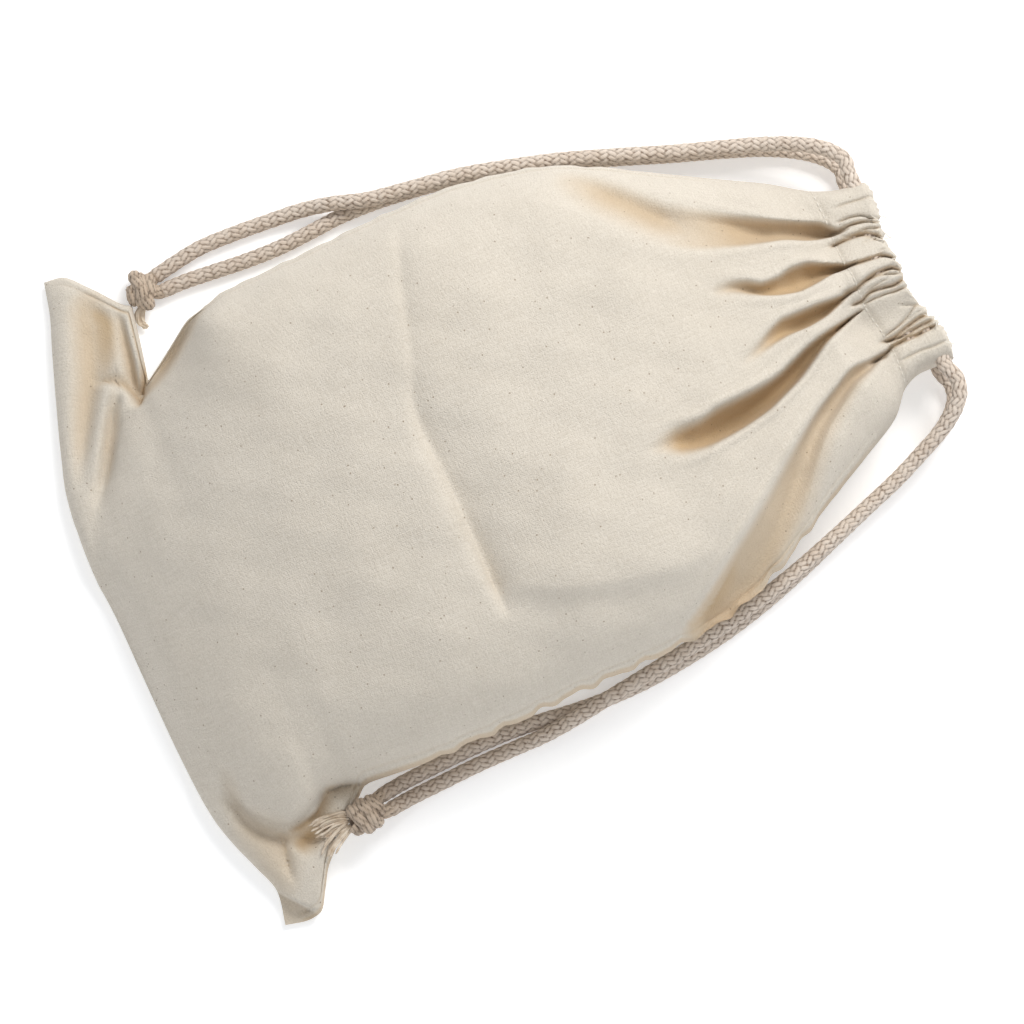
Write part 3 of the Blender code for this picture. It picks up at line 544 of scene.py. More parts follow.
knots = {}
for side, (middle, half, heading, turns, banded) in KNOTS.items():
    all_points, all_faces, strands, gaps = [], [], [], []
    count = 0
    wound = [knot_wraps(half, turns)] + ([knot_band(half)] if banded else [])
    winding = [(turned(path, heading) + middle, WRAP_RADIUS) for path in wound]
    for end, inwards in ((0, 1), (-1, -1)):
        way = paths[side][int(STUB_OVERLAP / CORD_STEP) * inwards]
        tip = paths[side][end]
        stub = smooth_path([way, tip, (tip + middle) / 2, middle], STUB_STEP)
        winding.append((stub, BRAID_OUTER * STUB_SQUEEZE))
    for path, reach in winding:
        points, faces, strand, gap = braided_tube(path, reach, pitch=KNOT_PITCH, sides=KNOT_SIDES,
                                                  first=count)
        all_points.append(points)
        all_faces += faces
        strands.append(strand)
        gaps.append(gap)
        count += len(points)
    points, faces = core([size - CORE_INSET for size in half], first=count)
    all_points.append(turned(points, heading) + middle)
    all_faces += faces
    strands.append(np.zeros((len(points), 2)))
    gaps.append(np.full(len(points), CORE_SHADE))
    points = np.concatenate(all_points)
    points[:, 2] = np.maximum(points[:, 2], KNOT_LOWEST)
    knots[side] = add_mesh("tied_knot_" + side, to_frame(points), all_faces, np.concatenate(strands),
                           gap=np.concatenate(gaps))
    print(knots[side].name, "size, mm:", np.round(np.ptp(points, axis=0), 1))

# %% Frayed ends
YARN_RADIUS = 0.60
YARN_LOWEST = YARN_RADIUS + 0.1     # height of the middle of a yarn that lies on the surface
YARN_SIDES = 6
YARN_TIP = 0.35         # share of a yarn's thickness at its ends
YARN_GROWTH = 0.4       # and how much of it each step adds
YARN_STEPS = 22
YARN_WAVE = 0.45
YARN_WAVE_PACE = (1.5, 4)
YARNS_EACH = 16         # yarns in a bundle
YARN_SEED = 5
SHORTEST_YARN = 0.72    # as a share of its bundle
BUNDLE_SPREAD = (0.55, 0.55, 0.2475)    # of the yarns' places across a bundle; it is flatter than it is wide
# Bundles of yarn at each knot. Each row: x, y, z, spread of the bundle there.
BUNDLES = {
    "left": (
        ((-142.5, 73.5, 4.4, 1.2), (-139, 70.6, 4.2, 2.0), (-134.8, 69.6, 3.6, 1.9),
         (-132.6, 71.6, 3.0, 1.4)),
        ((-142.8, 73.0, 3.8, 1.2), (-139.4, 69.6, 3.2, 1.8), (-136.2, 68.8, 2.6, 1.6))),
    "right": (
        ((139, 65, 17.2, 2.2), (136.4, 59, 17.2, 2.6), (135.8, 52, 16.8, 2.6), (136.6, 45.4, 16.2, 2.9)),
        ((142.6, 65, 17.4, 2.2), (145.4, 58, 17.6, 2.6), (148.6, 52, 17.2, 2.8), (153.4, 46.4, 16.4, 3.0)),
        ((141, 65, 16.8, 2.0), (140.8, 59, 16.6, 2.4), (141.6, 53, 16.2, 2.4), (142.4, 48.6, 15.8, 2.6))),
}


def yarn_paths(rows, count, draw):
    """Paths of the yarns of one bundle. Each yarn keeps its own place across the bundle, drawn at random, and
    follows the bundle's rows; it waves a little, and ends at a length of its own."""
    rows = np.array(rows, float)
    place = draw.normal(0, 1, (count, 1, 3)) * BUNDLE_SPREAD
    end = draw.uniform(SHORTEST_YARN, 1, (count, 1))
    at = np.linspace(0, 1, YARN_STEPS)[None] * end * (len(rows) - 1)
    middle = rows_curve(rows, at)
    phase = draw.uniform(0, 2 * math.pi, (count, 1, 3))
    swing = np.sin(at[..., None] * draw.uniform(*YARN_WAVE_PACE, (count, 1, 3)) + phase)
    wave = YARN_WAVE * swing * at[..., None] / len(rows)
    return middle[..., :3] + place * middle[..., 3:] + wave


def thin_tubes(tracks, radius, sides=YARN_SIDES):
    """Points and faces of many thin tubes at once, one for each row of tracks, thinned at their ends."""
    ahead = np.gradient(tracks, axis=1)
    ahead /= np.linalg.norm(ahead, axis=-1, keepdims=True)
    one = np.cross(ahead, (0.1, 0.05, 1.0))
    one /= np.linalg.norm(one, axis=-1, keepdims=True)
    other = np.cross(ahead, one)
    angle = np.linspace(0, 2 * math.pi, sides, endpoint=False)
    steps = tracks.shape[1]
    slim = np.minimum(1, YARN_TIP + np.minimum(np.arange(steps), np.arange(steps)[::-1]) * YARN_GROWTH)
    ring = (np.cos(angle)[:, None] * one[:, :, None] + np.sin(angle)[:, None] * other[:, :, None])
    points = tracks[:, :, None] + radius * slim[None, :, None, None] * ring
    faces = []
    for k in range(len(tracks)):
        faces += tube_faces(steps, sides, k * steps * sides)
    return points.reshape(-1, 3), faces


frays = {}
draw = np.random.default_rng(YARN_SEED)
for side, bundles in BUNDLES.items():
    tracks = np.concatenate([yarn_paths(rows, YARNS_EACH, draw) for rows in bundles])
    tracks[..., 2] = np.maximum(tracks[..., 2], YARN_LOWEST)
    points, faces = thin_tubes(tracks, YARN_RADIUS)
    frays[side] = add_mesh("frayed_end_" + side, to_frame(points), faces)
    print(frays[side].name, len(tracks), "yarns")

# %% [markdown]
# ## The cloth
# The bag is one sheet of cotton, sewn up and turned at the top. It could be draped by simulation, but the
# folds round a drawn mouth follow from how it was gathered, and they are wanted in their places. So the front
# is a surface worked out from two numbers: how far across the bag, and how far up it. It starts as a plump
# cushion between the seams, and then pockets, creases and ridges are taken off or added, one kind at a time.
# The thread of the side seams has drawn them in a little, unevenly, and near the bottom left the body of the
# bag ends in a round shoulder.

# %% Plan of the cloth
PINCH_START = (-138.5, 86.0)
PINCH_AXIS = (.80, -.60)
PINCH_DEPTH = 41.8
PINCH_HALF = 17.6
PINCH_FADE = 72.0
PINCH_ACROSS = (.25, .6)
BOTTOM_REACH = .30      # share of the way up that bends to the bottom fold
TOP_REACH = .80         # share of the way up above which it bends to the mouth
SIDE_REACH = .33        # share of the way across over which a side seam has its say


def plan(across, up):
    """Plan of the cloth. Straight rows between the side seams, bent to the bottom fold and the mouth edge,
    and then pushed inwards along the pinch: by its depth on the pinch's line, by nothing beyond its half
    width, and less and less towards the inside, so that no two places meet."""
    x = (1 - across) * table_curve(LEFT_SEAM, up, 1) + across * table_curve(RIGHT_SEAM, up, 1)
    low = fade(up, 0, BOTTOM_REACH)
    high = 1 - fade(up, TOP_REACH, 1)
    low_x = LEFT_SEAM[0][1] + across * (RIGHT_SEAM[0][1] - LEFT_SEAM[0][1])
    high_x = LEFT_SEAM[-1][1] + across * (RIGHT_SEAM[-1][1] - LEFT_SEAM[-1][1])
    from_low = table_curve(BOTTOM_FOLD, low_x)
    from_high = mouth_edge(high_x) - ROW_LENGTH
    y = ROW_LENGTH * up + low * from_low + high * from_high
    for table, inwards in ((LEFT_SEAM, across), (RIGHT_SEAM, 1 - across)):
        offset = table_curve(table, up, 2) - ROW_LENGTH * up
        known = low * table[0][2] + high * (table[-1][2] - ROW_LENGTH)
        y = y + fade(inwards, 0, SIDE_REACH) * (offset - known)
    dx, dy = x - PINCH_START[0], y - PINCH_START[1]
    inward = dx * PINCH_AXIS[0] + dy * PINCH_AXIS[1]
    sideways = -dx * PINCH_AXIS[1] + dy * PINCH_AXIS[0]
    tent = np.maximum(0, 1 - np.abs(sideways) / PINCH_HALF)
    push = PINCH_DEPTH * tent * np.exp(-np.maximum(inward, 0) / PINCH_FADE) * fade(across, *PINCH_ACROSS)
    return x + push * PINCH_AXIS[0], y + push * PINCH_AXIS[1]


# %% Uneven side seams
SCALLOPS = ((19.0, 0.9, 0.5), (11.0, 0.45, 2.0))     # length, depth and phase of the puckers along a seam
SCALLOP_REACH = 9.0
SCALLOP_LEFT = 0.4          # the left seam is drawn in less than the right one
SCALLOP_START = (.24, .32)
SCALLOP_END = (.72, .84)
ACROSS_LENGTH = 260         # about the width of the bag, to turn a share across into a length
SHOULDER_Y = 103.0          # the left edge of the body turns here, in a round bend
SHOULDER_CUT = 4.6
SHOULDER_HALF = 7.5
SHOULDER_REACH = 30


def puckers(x, y, across, up):
    """Shift of the plan towards the inside where a side seam's thread has drawn it in, fading away from the
    seam."""
    inside = sum(depth * (1 + np.sin(2 * math.pi * y / length + phase)) for length, depth, phase in SCALLOPS)
    keep = (1 - fade(up, *SCALLOP_START)) * fade(up, *SCALLOP_END)
    from_left, from_right = across * ACROSS_LENGTH, (1 - across) * ACROSS_LENGTH
    share = SCALLOP_LEFT * fade(from_left, 0, SCALLOP_REACH) - fade(from_right, 0, SCALLOP_REACH)
    shoulder = np.exp(-((y - SHOULDER_Y) / SHOULDER_HALF) ** 2) * fade(from_left, 0, SHOULDER_REACH)
    return x + inside * keep * share + SHOULDER_CUT * shoulder


# %% Filled part of the bag
# Values that are greater near the bottom: the plain value, what is added, and from which y to which the
# addition fades. The thin corners below the filled part stand up more, and its sides are softer there.
EDGE_RISE = (5.0, 8.0, 60, 110)
LEFT_POWER = (.55, .55, 45, 110)
RIGHT_POWER = (.50, .40, 2, 30)
SECTION_POWER = 3
LEAST_FRONT = 3.6       # the front never comes closer than this to the back
LEAST_SHARPNESS = 1.5
BOTTOM_LIFT = 3.0
BOTTOM_LIFT_END = .05
SEAM_GAP = 4            # the fill's line meets the seam this far above its own last row
SEAM_START = .2
HEM_RISE_START = 0.88
FRONT_ROUNDING = 0.04
BACK_ROUNDING = 0.05
SIDE_CLOSING = 14
BACK_FLAT = 0.7
BACK_CLOSING = 2.5
# Where the filled part ends below the side seams' straight run: y, x.
FILL_LEFT = ((-10, -20), (5, -45), (18, -62), (30, -78), (42, -92), (55, -99), (62, -106), (80, -119))
FILL_RIGHT = ((-10, 80), (5, 98), (16, 110), (24, 119), (32, 127), (39, 130), (50, 127), (60, 122),
              (70, 122.5))
# Height of the front along its middle: share of the way up, height.
CROWN = ((0, 6), (.03, 26), (.07, 42), (.13, 60), (.20, 75), (.30, 88), (.40, 95), (.50, 97), (.60, 94),
         (.70, 85), (.78, 74), (.85, 63), (.91, 54.5), (.947, 50), (1, 49))


def body_edge(table, fill, y):
    """x of the filled part's edge at y: the fill's own line below, the side seam above."""
    above = [row for row in table if row[2] > fill[-1][0] + SEAM_GAP and row[0] > SEAM_START]
    rows = list(fill) + [(row[2], row[1]) for row in above]
    return table_curve(rows, y)


def rest_height(across, up):
    """Height of the seams' own surface: the two side seams, joined straight across."""
    height = (1 - across) * table_curve(LEFT_SEAM, up, 3) + across * table_curve(RIGHT_SEAM, up, 3)
    return height + BOTTOM_LIFT * np.sin(math.pi * across) * fade(up, 0, BOTTOM_LIFT_END)


def more_below(y, plain, more, start, end):
    """plain above end, plain + more below start."""
    return plain + more * fade(y, start, end)


def cushion(across, up):
    """Plan and plain height of the front, without its folds. Its section is (1 - |t|^3)^power of the crown's
    height, with t from -1 to 1 between the edges of the filled part; a higher power makes a softer side. It
    takes on the mouth's height in the hem."""
    x, y = plan(across, up)
    x = puckers(x, y, across, up)
    base = rest_height(across, up)
    left = body_edge(LEFT_SEAM, FILL_LEFT, y)
    right = body_edge(RIGHT_SEAM, FILL_RIGHT, y)
    t = np.clip((2 * x - left - right) / (right - left), -1, 1)
    power = np.where(t < 0, more_below(y, *LEFT_POWER), more_below(y, *RIGHT_POWER))
    section = (1 - np.abs(t) ** SECTION_POWER) ** power
    edge = base + more_below(y, *EDGE_RISE)
    height = edge + (table_curve(CROWN, up) - edge) * section
    into_hem = 1 - fade(up, HEM_RISE_START, CASING_START)
    return x, y, base, height + (mouth_height(x) - height) * into_hem


# %% [markdown]
# ### Pockets under the hem
# Where the cord squeezes the hem together, the cloth below it folds into deep pockets with sharp lips. Each
# one is a band between two edges. Its floor is a trough, its walls are as steep as its row says, and a low
# lip stands along each edge. The same function also tells the material how dark it is inside a pocket,
# because light that has bounced about between two walls of unbleached cotton comes out a warmer tan.

# %% Pockets
# Rows of each pocket, from the hem down: y, x of its left edge, x of its right edge, depth, width of its left
# wall, width of its right wall.
POCKETS = (
    ((416, -29, -27.6, 0, 1, 1), (410, -29.9, -27.2, 7, 1, 1.4), (402, -36.6, -28.4, 11, 1.5, 2),
     (393, -40, -30, 13, 2, 2.5), (379, -45, -34, 14, 3, 3), (367, -51, -36.6, 12, 5, 4),
     (351, -60, -40.5, 8, 8, 5), (331, -72, -47, 4, 12, 7), (314, -82, -57, 0, 14, 9)),
    ((412, -10.2, -9.4, 0, 1, 1), (406, -10.6, -9.2, 8, 1, 1), (401, -13, -9.4, 11, 1.3, 1.2),
     (393, -16.3, -8.6, 13, 1.6, 1.5), (385, -18.6, -7.2, 16, 1.8, 1.8), (377, -18.4, -6.4, 15, 2, 2),
     (367, -16.4, -7.8, 11, 2, 2.2), (360, -16.6, -10, 10, 2.2, 2.4), (352, -20.6, -13.6, 8, 3.5, 4),
     (344, -23, -17.4, 5, 5, 6), (332, -24, -19.6, 0, 8, 9)),
    ((406, 3, 3.6, 0, 1, 1), (400, 3.2, 4.2, 7, 1, 1), (391, 3.2, 7.2, 11, 1.4, 1.4),
     (382, 3, 10.2, 15, 1.6, 1.6), (372, 3.4, 11.6, 15, 1.8, 1.8), (362, 3.6, 11.9, 11, 2, 2),
     (355, 5.8, 12.9, 9, 2.4, 2.4), (348, 9, 14.6, 6, 4, 4), (341, 12.4, 16.4, 3.4, 6, 6),
     (330, 16, 19, 0, 9, 8)),
    ((405, 12.2, 13, 0, 1, 1), (398, 13.4, 14.6, 8, 1, 1), (390, 15.2, 17.4, 12, 1.3, 1.3),
     (377, 18.1, 22.7, 14, 1.6, 1.6), (368, 20.6, 27.9, 16, 1.8, 1.8), (357, 25, 34, 20, 2, 2),
     (347, 28.8, 38.3, 22, 2.2, 2.2), (336, 31, 42.5, 23, 2.4, 2.4), (325, 32, 44.9, 23, 2.6, 2.6),
     (312, 33, 46.9, 22, 2.8, 2.8), (300, 35.4, 47.9, 18, 4, 4.5), (289, 35.2, 46.6, 11, 7, 7),
     (278, 36, 43, 3, 10, 9), (268, 37, 41, 0, 12, 10)),
    ((412, 35.6, 36.4, 0, 1, 2), (403, 36.4, 38.6, 6, 1, 2), (394, 37.8, 43, 8, 1.4, 4),
     (385, 38.8, 46.5, 11, 1.6, 8), (372, 45, 54.5, 13, 2, 15), (360, 51.4, 63, 14, 2.6, 20),
     (348, 59.2, 76, 16, 3.6, 24), (337, 67.2, 90, 17, 4.6, 26), (320, 80.2, 108, 20, 5.4, 26),
     (304, 91.6, 121, 23, 5, 22), (284, 104.6, 133, 26, 4, 16), (270, 113.8, 139, 25, 3, 12),
     (262, 118.6, 142, 17, 3, 10), (252, 124, 144, 0, 3, 8)),
)
POCKET_SHADE_WARMTH = (0.8, 1.0, 1.0, 1.0, 0.64)    # how brown the shade painted in each pocket gets, for light bounced between its walls
LIP_HEIGHT = 0.8
LIP_WIDTH = 1.7
LIP_DEPTH = 14          # depth of a pocket whose lips have the full height
DARK_DEPTH = 10         # depth from which the shade painted in a pocket is as brown as it gets
FLOOR_SIDES = 0.55      # depth of the floor beside the walls, against 1 in its middle
LINE = np.linspace(250, 430, 181)      # the y at which the lean of the pockets' edges is worked out


def pocket(x, y, rows):
    """Depth of a pocket, how dark the shade painted in it is, and the height of its lips. At each y the table
    gives the two edges and the widths of their walls. From an edge, the wall falls along a smooth step, half
    of it on each side of the edge, measured square to the edge."""
    rows = np.array(rows, float)[::-1]
    at = rows[:, 0]
    left, right, depth = (curve_through(at, rows[:, k], y) for k in (1, 2, 3))
    share, lips = 1, 0
    for k, edge, inwards in ((1, left, 1), (2, right, -1)):
        slope = np.gradient(curve_through(at, rows[:, k], LINE), LINE)
        lean = 1 / np.hypot(1, np.interp(y, LINE, slope))
        inside = inwards * (x - edge) * lean
        soft = curve_through(at, rows[:, k + 3], y) / 2
        share = share * fade(-inside, -soft, soft)
        lips = lips + depth / LIP_DEPTH * LIP_HEIGHT * np.exp(-((inside + soft + LIP_WIDTH) / LIP_WIDTH) ** 2)
    between = np.clip((x - left) / np.maximum(right - left, 1e-3), 0, 1)
    floor = FLOOR_SIDES + (1 - FLOOR_SIDES) * np.sin(math.pi * between)
    dark = share * np.clip(depth / DARK_DEPTH, 0, 1)
    live = (y > at[0]) & (y < at[-1])
    return tuple(np.where(live, value, 0) for value in (depth * share * floor, dark, lips))


print("pockets:", len(POCKETS))

# %% [markdown]
# ### Gathers in the hem
# In the hem itself the gathers are narrow and tight. Each crease is a narrow groove with a wide, shallow
# hollow round it, so the cloth between two creases stands up in a soft pad. Every crease has a start and an
# end up the hem, a depth, and its place at five heights, because gathers lean and fan out.

# %% Hem creases
PAD_RISE = 1.8
PADS_FROM, PADS_FULL = -0.012, 0.008        # about the start of the hem, as shares of the way up
HEM_STEP = 0.7
STEP_FROM, STEP_FULL = -0.012, -0.006       # about the line of stitches
STITCH_LINE = 0.9435        # share of the way up
STITCH_SINK = 0.7
STITCH_HALF = 0.0026
CREASE_DEEPER = 1.25        # the table's creases, not the fine ones
SHADE_DEPTH = 4.2           # depth at which the shade painted in a crease darkens it by 1
SHADE_START = 0.24
# Two bells make a crease, a groove and a wide hollow: their shares of its depth and of its half width.
CREASE_BELLS = ((0.7, 0.75), (0.2, 2.6))
CREASE_BUNCHES = (-30, -23, -20, -8.5, 1, 8.5, 29, 33, 36)
BUNCH_SPREAD = 2.2
FINE_COUNT = 30
FINE_SEED = 12
FAN = -0.006                # fine creases lean towards the middle of the mouth as they go up
LEAN_SPREAD = 0.06
CREASE_LINES = (404, 410, 416, 422, 428)
# Start y, end y, depth, half width, and x at each of the five lines.
HEM_CREASES = (
    (410, 436, 2.6, .8, -33, -32.9, -32.8, -31.7, -27.3),
    (405, 436, 3.0, .9, -29.7, -29.6, -29.4, -28.4, -25.4),
    (419, 432, 2.2, .7, -24.6, -24.6, -24.5, -24.3, -22.5),
    (402, 432, 5.2, 1.3, -23.2, -23.2, -23, -21.6, -16.5), (419, 430, 2.0, .8, -22, -21, -20, -18.9, -10.6),
    (398, 432, 5.6, 1.4, -9.6, -8.9, -8.3, -7.2, -2.5), (396, 428, 5.4, 1.3, 2.6, 1.1, 0, .3, 3.4),
    (408, 426, 2.6, .8, 1, 1, 1.5, 3.4, 5.4), (398, 430, 5.0, 1.2, 9.2, 7.1, 7.6, 8.5, 7.5),
    (404, 430, 2.8, .8, 11.2, 10.7, 10.9, 11.5, 11.6), (408, 431, 2.4, .7, 30.5, 29, 27.5, 25.2, 21.7),
    (409, 437, 4.6, 1.2, 33, 32.3, 30.6, 29, 27.6), (405, 434, 4.4, 1.1, 31.2, 31.7, 32.6, 32.1, 31.4),
    (396, 432, 5.2, 1.3, 38.6, 35.4, 35.1, 35.2, 34.6), (424, 438, 2.6, .9, 36, 36, 36, 35.8, 34.6),
    (421, 432, 1.6, .8, 16, 17, 18, 19, 21), (412, 436, 1.8, 1, -40, -40, -40, -39.4, -38.6),
    (410, 436, 1.8, 1, 44, 44, 43.6, 43.4, 44),
)


def crease_depth(x, y, start, end, depth, half, *places):
    """Depth of one hem crease: a narrow bell and a wide, shallow one round its line."""
    line = curve_through(CREASE_LINES, places, y)
    keep = (1 - fade(y, start - 3, start + 4)) * fade(y, end - 2, end + 3)
    bells = sum(share * np.exp(-((x - line) / (wide * half)) ** 2) for share, wide in CREASE_BELLS)
    return keep * depth * bells


def fine_creases(count, draw):
    """Rows of extra short creases, bunched round the deep ones."""
    middle = draw.choice(CREASE_BUNCHES, count) + draw.normal(0, BUNCH_SPREAD, count)
    start = draw.uniform(405, 421, count)
    end = start + draw.uniform(8, 18, count)
    lean = FAN * middle + draw.normal(0, LEAN_SPREAD, count)
    lines = middle[:, None] + lean[:, None] * (np.array(CREASE_LINES) - CREASE_LINES[2])
    return np.column_stack([start, end, draw.uniform(.7, 1.7, count), draw.uniform(.45, .7, count), lines])


FINE_CREASES = fine_creases(FINE_COUNT, np.random.default_rng(FINE_SEED))
print("creases of the hem:", len(HEM_CREASES), "and", len(FINE_CREASES), "fine ones")


def hem_relief(x, y, up):
    """What the hem adds to the front: pads that rise over the plain height, creases, a small step where the
    turned cloth ends, and the line of stitches drawn into it; and how much shade is painted in its creases."""
    inside = 1 - fade(up, CASING_START + PADS_FROM, CASING_START + PADS_FULL)
    edge = 1 - fade(up, STITCH_LINE + STEP_FROM, STITCH_LINE + STEP_FULL)
    rise = PAD_RISE * inside + HEM_STEP * edge
    sunk = CREASE_DEEPER * sum(crease_depth(x, y, *row) for row in HEM_CREASES)
    sunk = sunk + sum(crease_depth(x, y, *row) for row in FINE_CREASES)
    line = STITCH_SINK * np.exp(-((up - STITCH_LINE) / STITCH_HALF) ** 2)
    return rise - sunk - line, np.clip(sunk / SHADE_DEPTH - SHADE_START, 0, 1)


# %% [markdown]
# ### Long folds, welts and small waves
# The rest of the front has a crease from being packed, a slack place and a round turn on the belly, thin
# corners at the bottom with troughs, lips and folded cloth, a welt beside each side seam and slight waves,
# since nothing in used cotton is quite smooth. A fold follows a route: at every point, the nearest place of
# the route says how deep and how wide the fold is there.

# %% Long folds
# Each row of a route is x, y, half width to the left of the route, half width to its right, depth, and how
# warm the shade painted along it is. A negative depth is a ridge. The first value of a fold is 1 for a sharp
# one, 0 for a round one. The two shade folds have no depth, only painted shade.
FOLDS = {
    "packing crease": (
        1, (-130, 212, 6, 4, 0, 0), (-108, 204, 9, 4.5, 2, 0), (-86, 196, 10, 4.5, 2.8, 0),
        (-61, 189, 10, 4.5, 2.6, 0), (-43, 183, 10, 4.5, 2.2, 0), (-27.6, 177, 11, 4, 4, 0),
        (-11, 175.7, 13, 3.6, 5.6, 0), (17, 177, 14, 3.6, 7, 0), (38, 177, 15, 3.4, 7.8, .05),
        (54, 177, 14, 3, 8.8, .1), (66, 176.6, 11, 2.8, 8.8, .14), (76, 176.6, 7, 2.4, 4.4, .06),
        (86, 177.4, 5, 3, 0, 0)),
    "slack of the belly": (
        0, (10, 182, 12, 12, 0, 0), (3, 198, 14, 14, 1.6, 0), (-6, 214, 15, 16, 2.6, 0),
        (-15, 231, 16, 17, 3, 0), (-25, 250, 16, 17, 2.8, 0), (-35, 273, 14, 16, 1.8, 0),
        (-44, 296, 12, 12, 0, 0)),
    "turn of the belly": (
        0, (66, 182, 20, 6, 0, 0), (74, 193, 34, 8, -3, 0), (82, 207, 42, 8, -5.5, 0),
        (88, 228, 44, 9, -6, 0), (93, 250, 42, 9, -5.5, 0), (95, 268, 36, 9, -4.5, 0),
        (92, 290, 26, 9, -2, 0), (86, 310, 16, 8, 0, 0)),
    "far end of the first pocket": (
        0, (-110, 285, 6, 10, 0, 0), (-100, 298, 7, 12, 4, .4), (-86, 310, 7.5, 12, 7, .7),
        (-70, 324, 7.5, 12, 7, .7), (-56, 337, 6, 10, 3, .4), (-46, 346, 5, 6, 0, .2)),
    "ridge of the first pocket": (
        0, (-110, 250, 8, 12, 0, 0), (-101, 265.6, 7, 14, -1.2, 0), (-89.7, 282.3, 5, 14, -2.4, 0),
        (-79.2, 293.9, 4, 14, -2.8, 0), (-68.2, 305.2, 4, 14, -2.8, 0), (-55.1, 320.9, 5, 12, -1.4, 0),
        (-45.3, 338, 4, 8, 0, 0)),
    "end of the side pocket": (
        1, (88, 311, 12, 1, 0, 0), (98.3, 297.4, 15, 1, 4, .5), (108.4, 284.7, 15, 1, 6.5, .9),
        (116.4, 273.2, 13, 1, 6.5, .95), (121.8, 263, 10, 1, 4, .8), (127, 253, 6, 1, 0, 0)),
    "left ear trough": (
        0, (-163, 50, 5, 5, 0, 0), (-157, 49, 12, 8, 4, .4), (-149, 46, 13, 9, 6, .55),
        (-136, 42, 12, 9, 7, .6), (-120, 35.5, 8, 8.5, 7, .6), (-104, 26.5, 6, 7.5, 6.5, .55),
        (-88, 17.7, 5, 6, 5, .4), (-79, 12.7, 5, 5, 3, .2), (-66, 7, 5, 4, 0, 0)),
    # painted shade only: no row has any depth
    "painted shade of the ear": (
        0, (-152, 45, 4, 6, 0, .2), (-148, 51, 4.5, 9, 2, .8), (-141, 53.5, 5, 11, 2.5, .9),
        (-134, 51, 6, 12, 2.5, .85), (-126, 47, 7, 11, 2, .7), (-115, 41, 4, 6, 0, .3)),
    "left ear ridge": (
        0, (-113, 43, 3, 3, 0, 0), (-106, 40, 4, 4, -1.5, 0), (-98, 34.6, 4, 4, -2, 0),
        (-84, 25.7, 4, 4, -1.8, 0), (-73, 18.4, 4, 4, -1, 0), (-64, 12, 4, 4, 0, 0)),
    "left ear fold": (
        0, (-106, 47, 3, 3, 0, 0), (-102, 43, 3.4, 3, 3.5, .15), (-98.1, 39.2, 4, 2.8, 5.5, .3),
        (-90, 33.8, 5, 2.8, 7, .35), (-82.4, 29.4, 5, 2.8, 7, .35), (-70.8, 23, 5, 3, 6, .25),
        (-63.9, 17.7, 5, 3.4, 3.5, .1), (-55, 11, 5, 4, 0, 0)),
    "lip of the ear": (
        0, (-146, 60, 3, 3, 0, 0), (-139, 60.6, 2.4, 4, 4.5, .45), (-130, 59.3, 2.2, 4.6, 6.5, .6),
        (-119, 57.6, 2.2, 4.6, 7, .65), (-110, 55.6, 2.2, 4.2, 7.5, .7), (-101, 53.5, 2, 3, 4, .5)),
    "head of the ear fold": (
        1, (-117, 34, 4, 1.4, 0, .2), (-114, 39.6, 5, 1.4, 4, .5), (-112.4, 43.6, 5, 1.4, 5.5, .6),
        (-109.6, 46.8, 5, 1.4, 6, .65), (-105.5, 50.2, 4.4, 1.4, 6.5, .7), (-98.5, 52.6, 3, 1.6, 6, .7),
        (-94, 53.4, 2, 1.6, 0, .3)),
    "lip of the body": (
        0, (-99.5, 58, 3, 4, 4, .5), (-103.2, 64, 3.4, 6, 9, .6), (-108, 72, 3.6, 7, 14, .6),
        (-112.6, 79.6, 3.6, 7, 16, .55), (-117.2, 87, 3.4, 7, 16, .5), (-122.4, 95.6, 3.4, 6, 14, .4),
        (-127, 104, 3.4, 6, 9, .25), (-127.5, 114, 4, 6, 0, 0)),
    "pinch": (
        1, (-114, 64, 2, 2, 0, .6), (-107, 60, 2.2, 2.2, 9, .9), (-101, 56, 2.4, 2.4, 10, .9),
        (-96.5, 53.4, 2.4, 2.4, 8, .8), (-92, 51, 2.6, 2.6, 0, 0)),
    "right corner trough": (
        0, (84, 18, 6, 5, 0, 0), (93, 17.5, 7, 5, 2.5, .1), (101, 17, 6, 5, 4, .2),
        (108, 16.4, 5, 5, 5, .25), (116, 17, 4, 4.5, 6, .3), (125, 21, 4, 4.5, 7, .35),
        (131, 26.4, 4, 4.5, 7, .4), (136, 34, 5, 5, 6, .5), (139, 41, 5, 4, 5, .6),
        (141, 48, 4, 4, 3.5, .5), (140, 56, 3, 4, 2, .3), (138, 62, 3, 4, 0, 0)),
    "edge over the corner": (
        1, (129.5, 92, 4, .8, 0, 0), (128, 84, 6, .8, 4, .35), (126, 77, 7, .8, 6.5, .45),
        (123, 69, 7, .8, 7, .5), (121.6, 62, 7, .8, 7.5, .55), (123.6, 58.4, 7, .8, 8, .6),
        (126.6, 55.6, 7, .8, 8, .7), (129.6, 51.6, 7, .8, 8.5, .8), (131.4, 46.6, 7, 1, 8.5, .9),
        (132.4, 41, 7, 1.2, 7, .9), (133, 35, 6, 2, 0, .4)),
    "pocket of the corner": (
        0, (133, 53, 4, 3, 0, .3), (136.4, 48, 6, 5, 2, .8), (139, 43, 7, 6, 3.5, 1),
        (140.6, 38, 7, 6, 3, .9), (142, 33, 5, 5, 0, .1)),
    # painted shade only: no row has any depth
    "painted shade of the corner": (
        0, (112, 12, 8, 8, 0, .1), (125, 18, 12, 12, 0, .35), (140, 25, 14, 16, 0, .42),
        (155, 22, 10, 12, 0, .3), (165, 12, 8, 8, 0, 0)),
    "right corner crease": (
        1, (131, 31, 1.6, 1.6, 0, .3), (137, 30, 2.4, 2.2, 5, .6), (144, 28.6, 2.6, 2.2, 5.5, .5),
        (151, 27.6, 2.4, 2.2, 4, .35), (159, 27, 2, 2, 0, 0)),
}


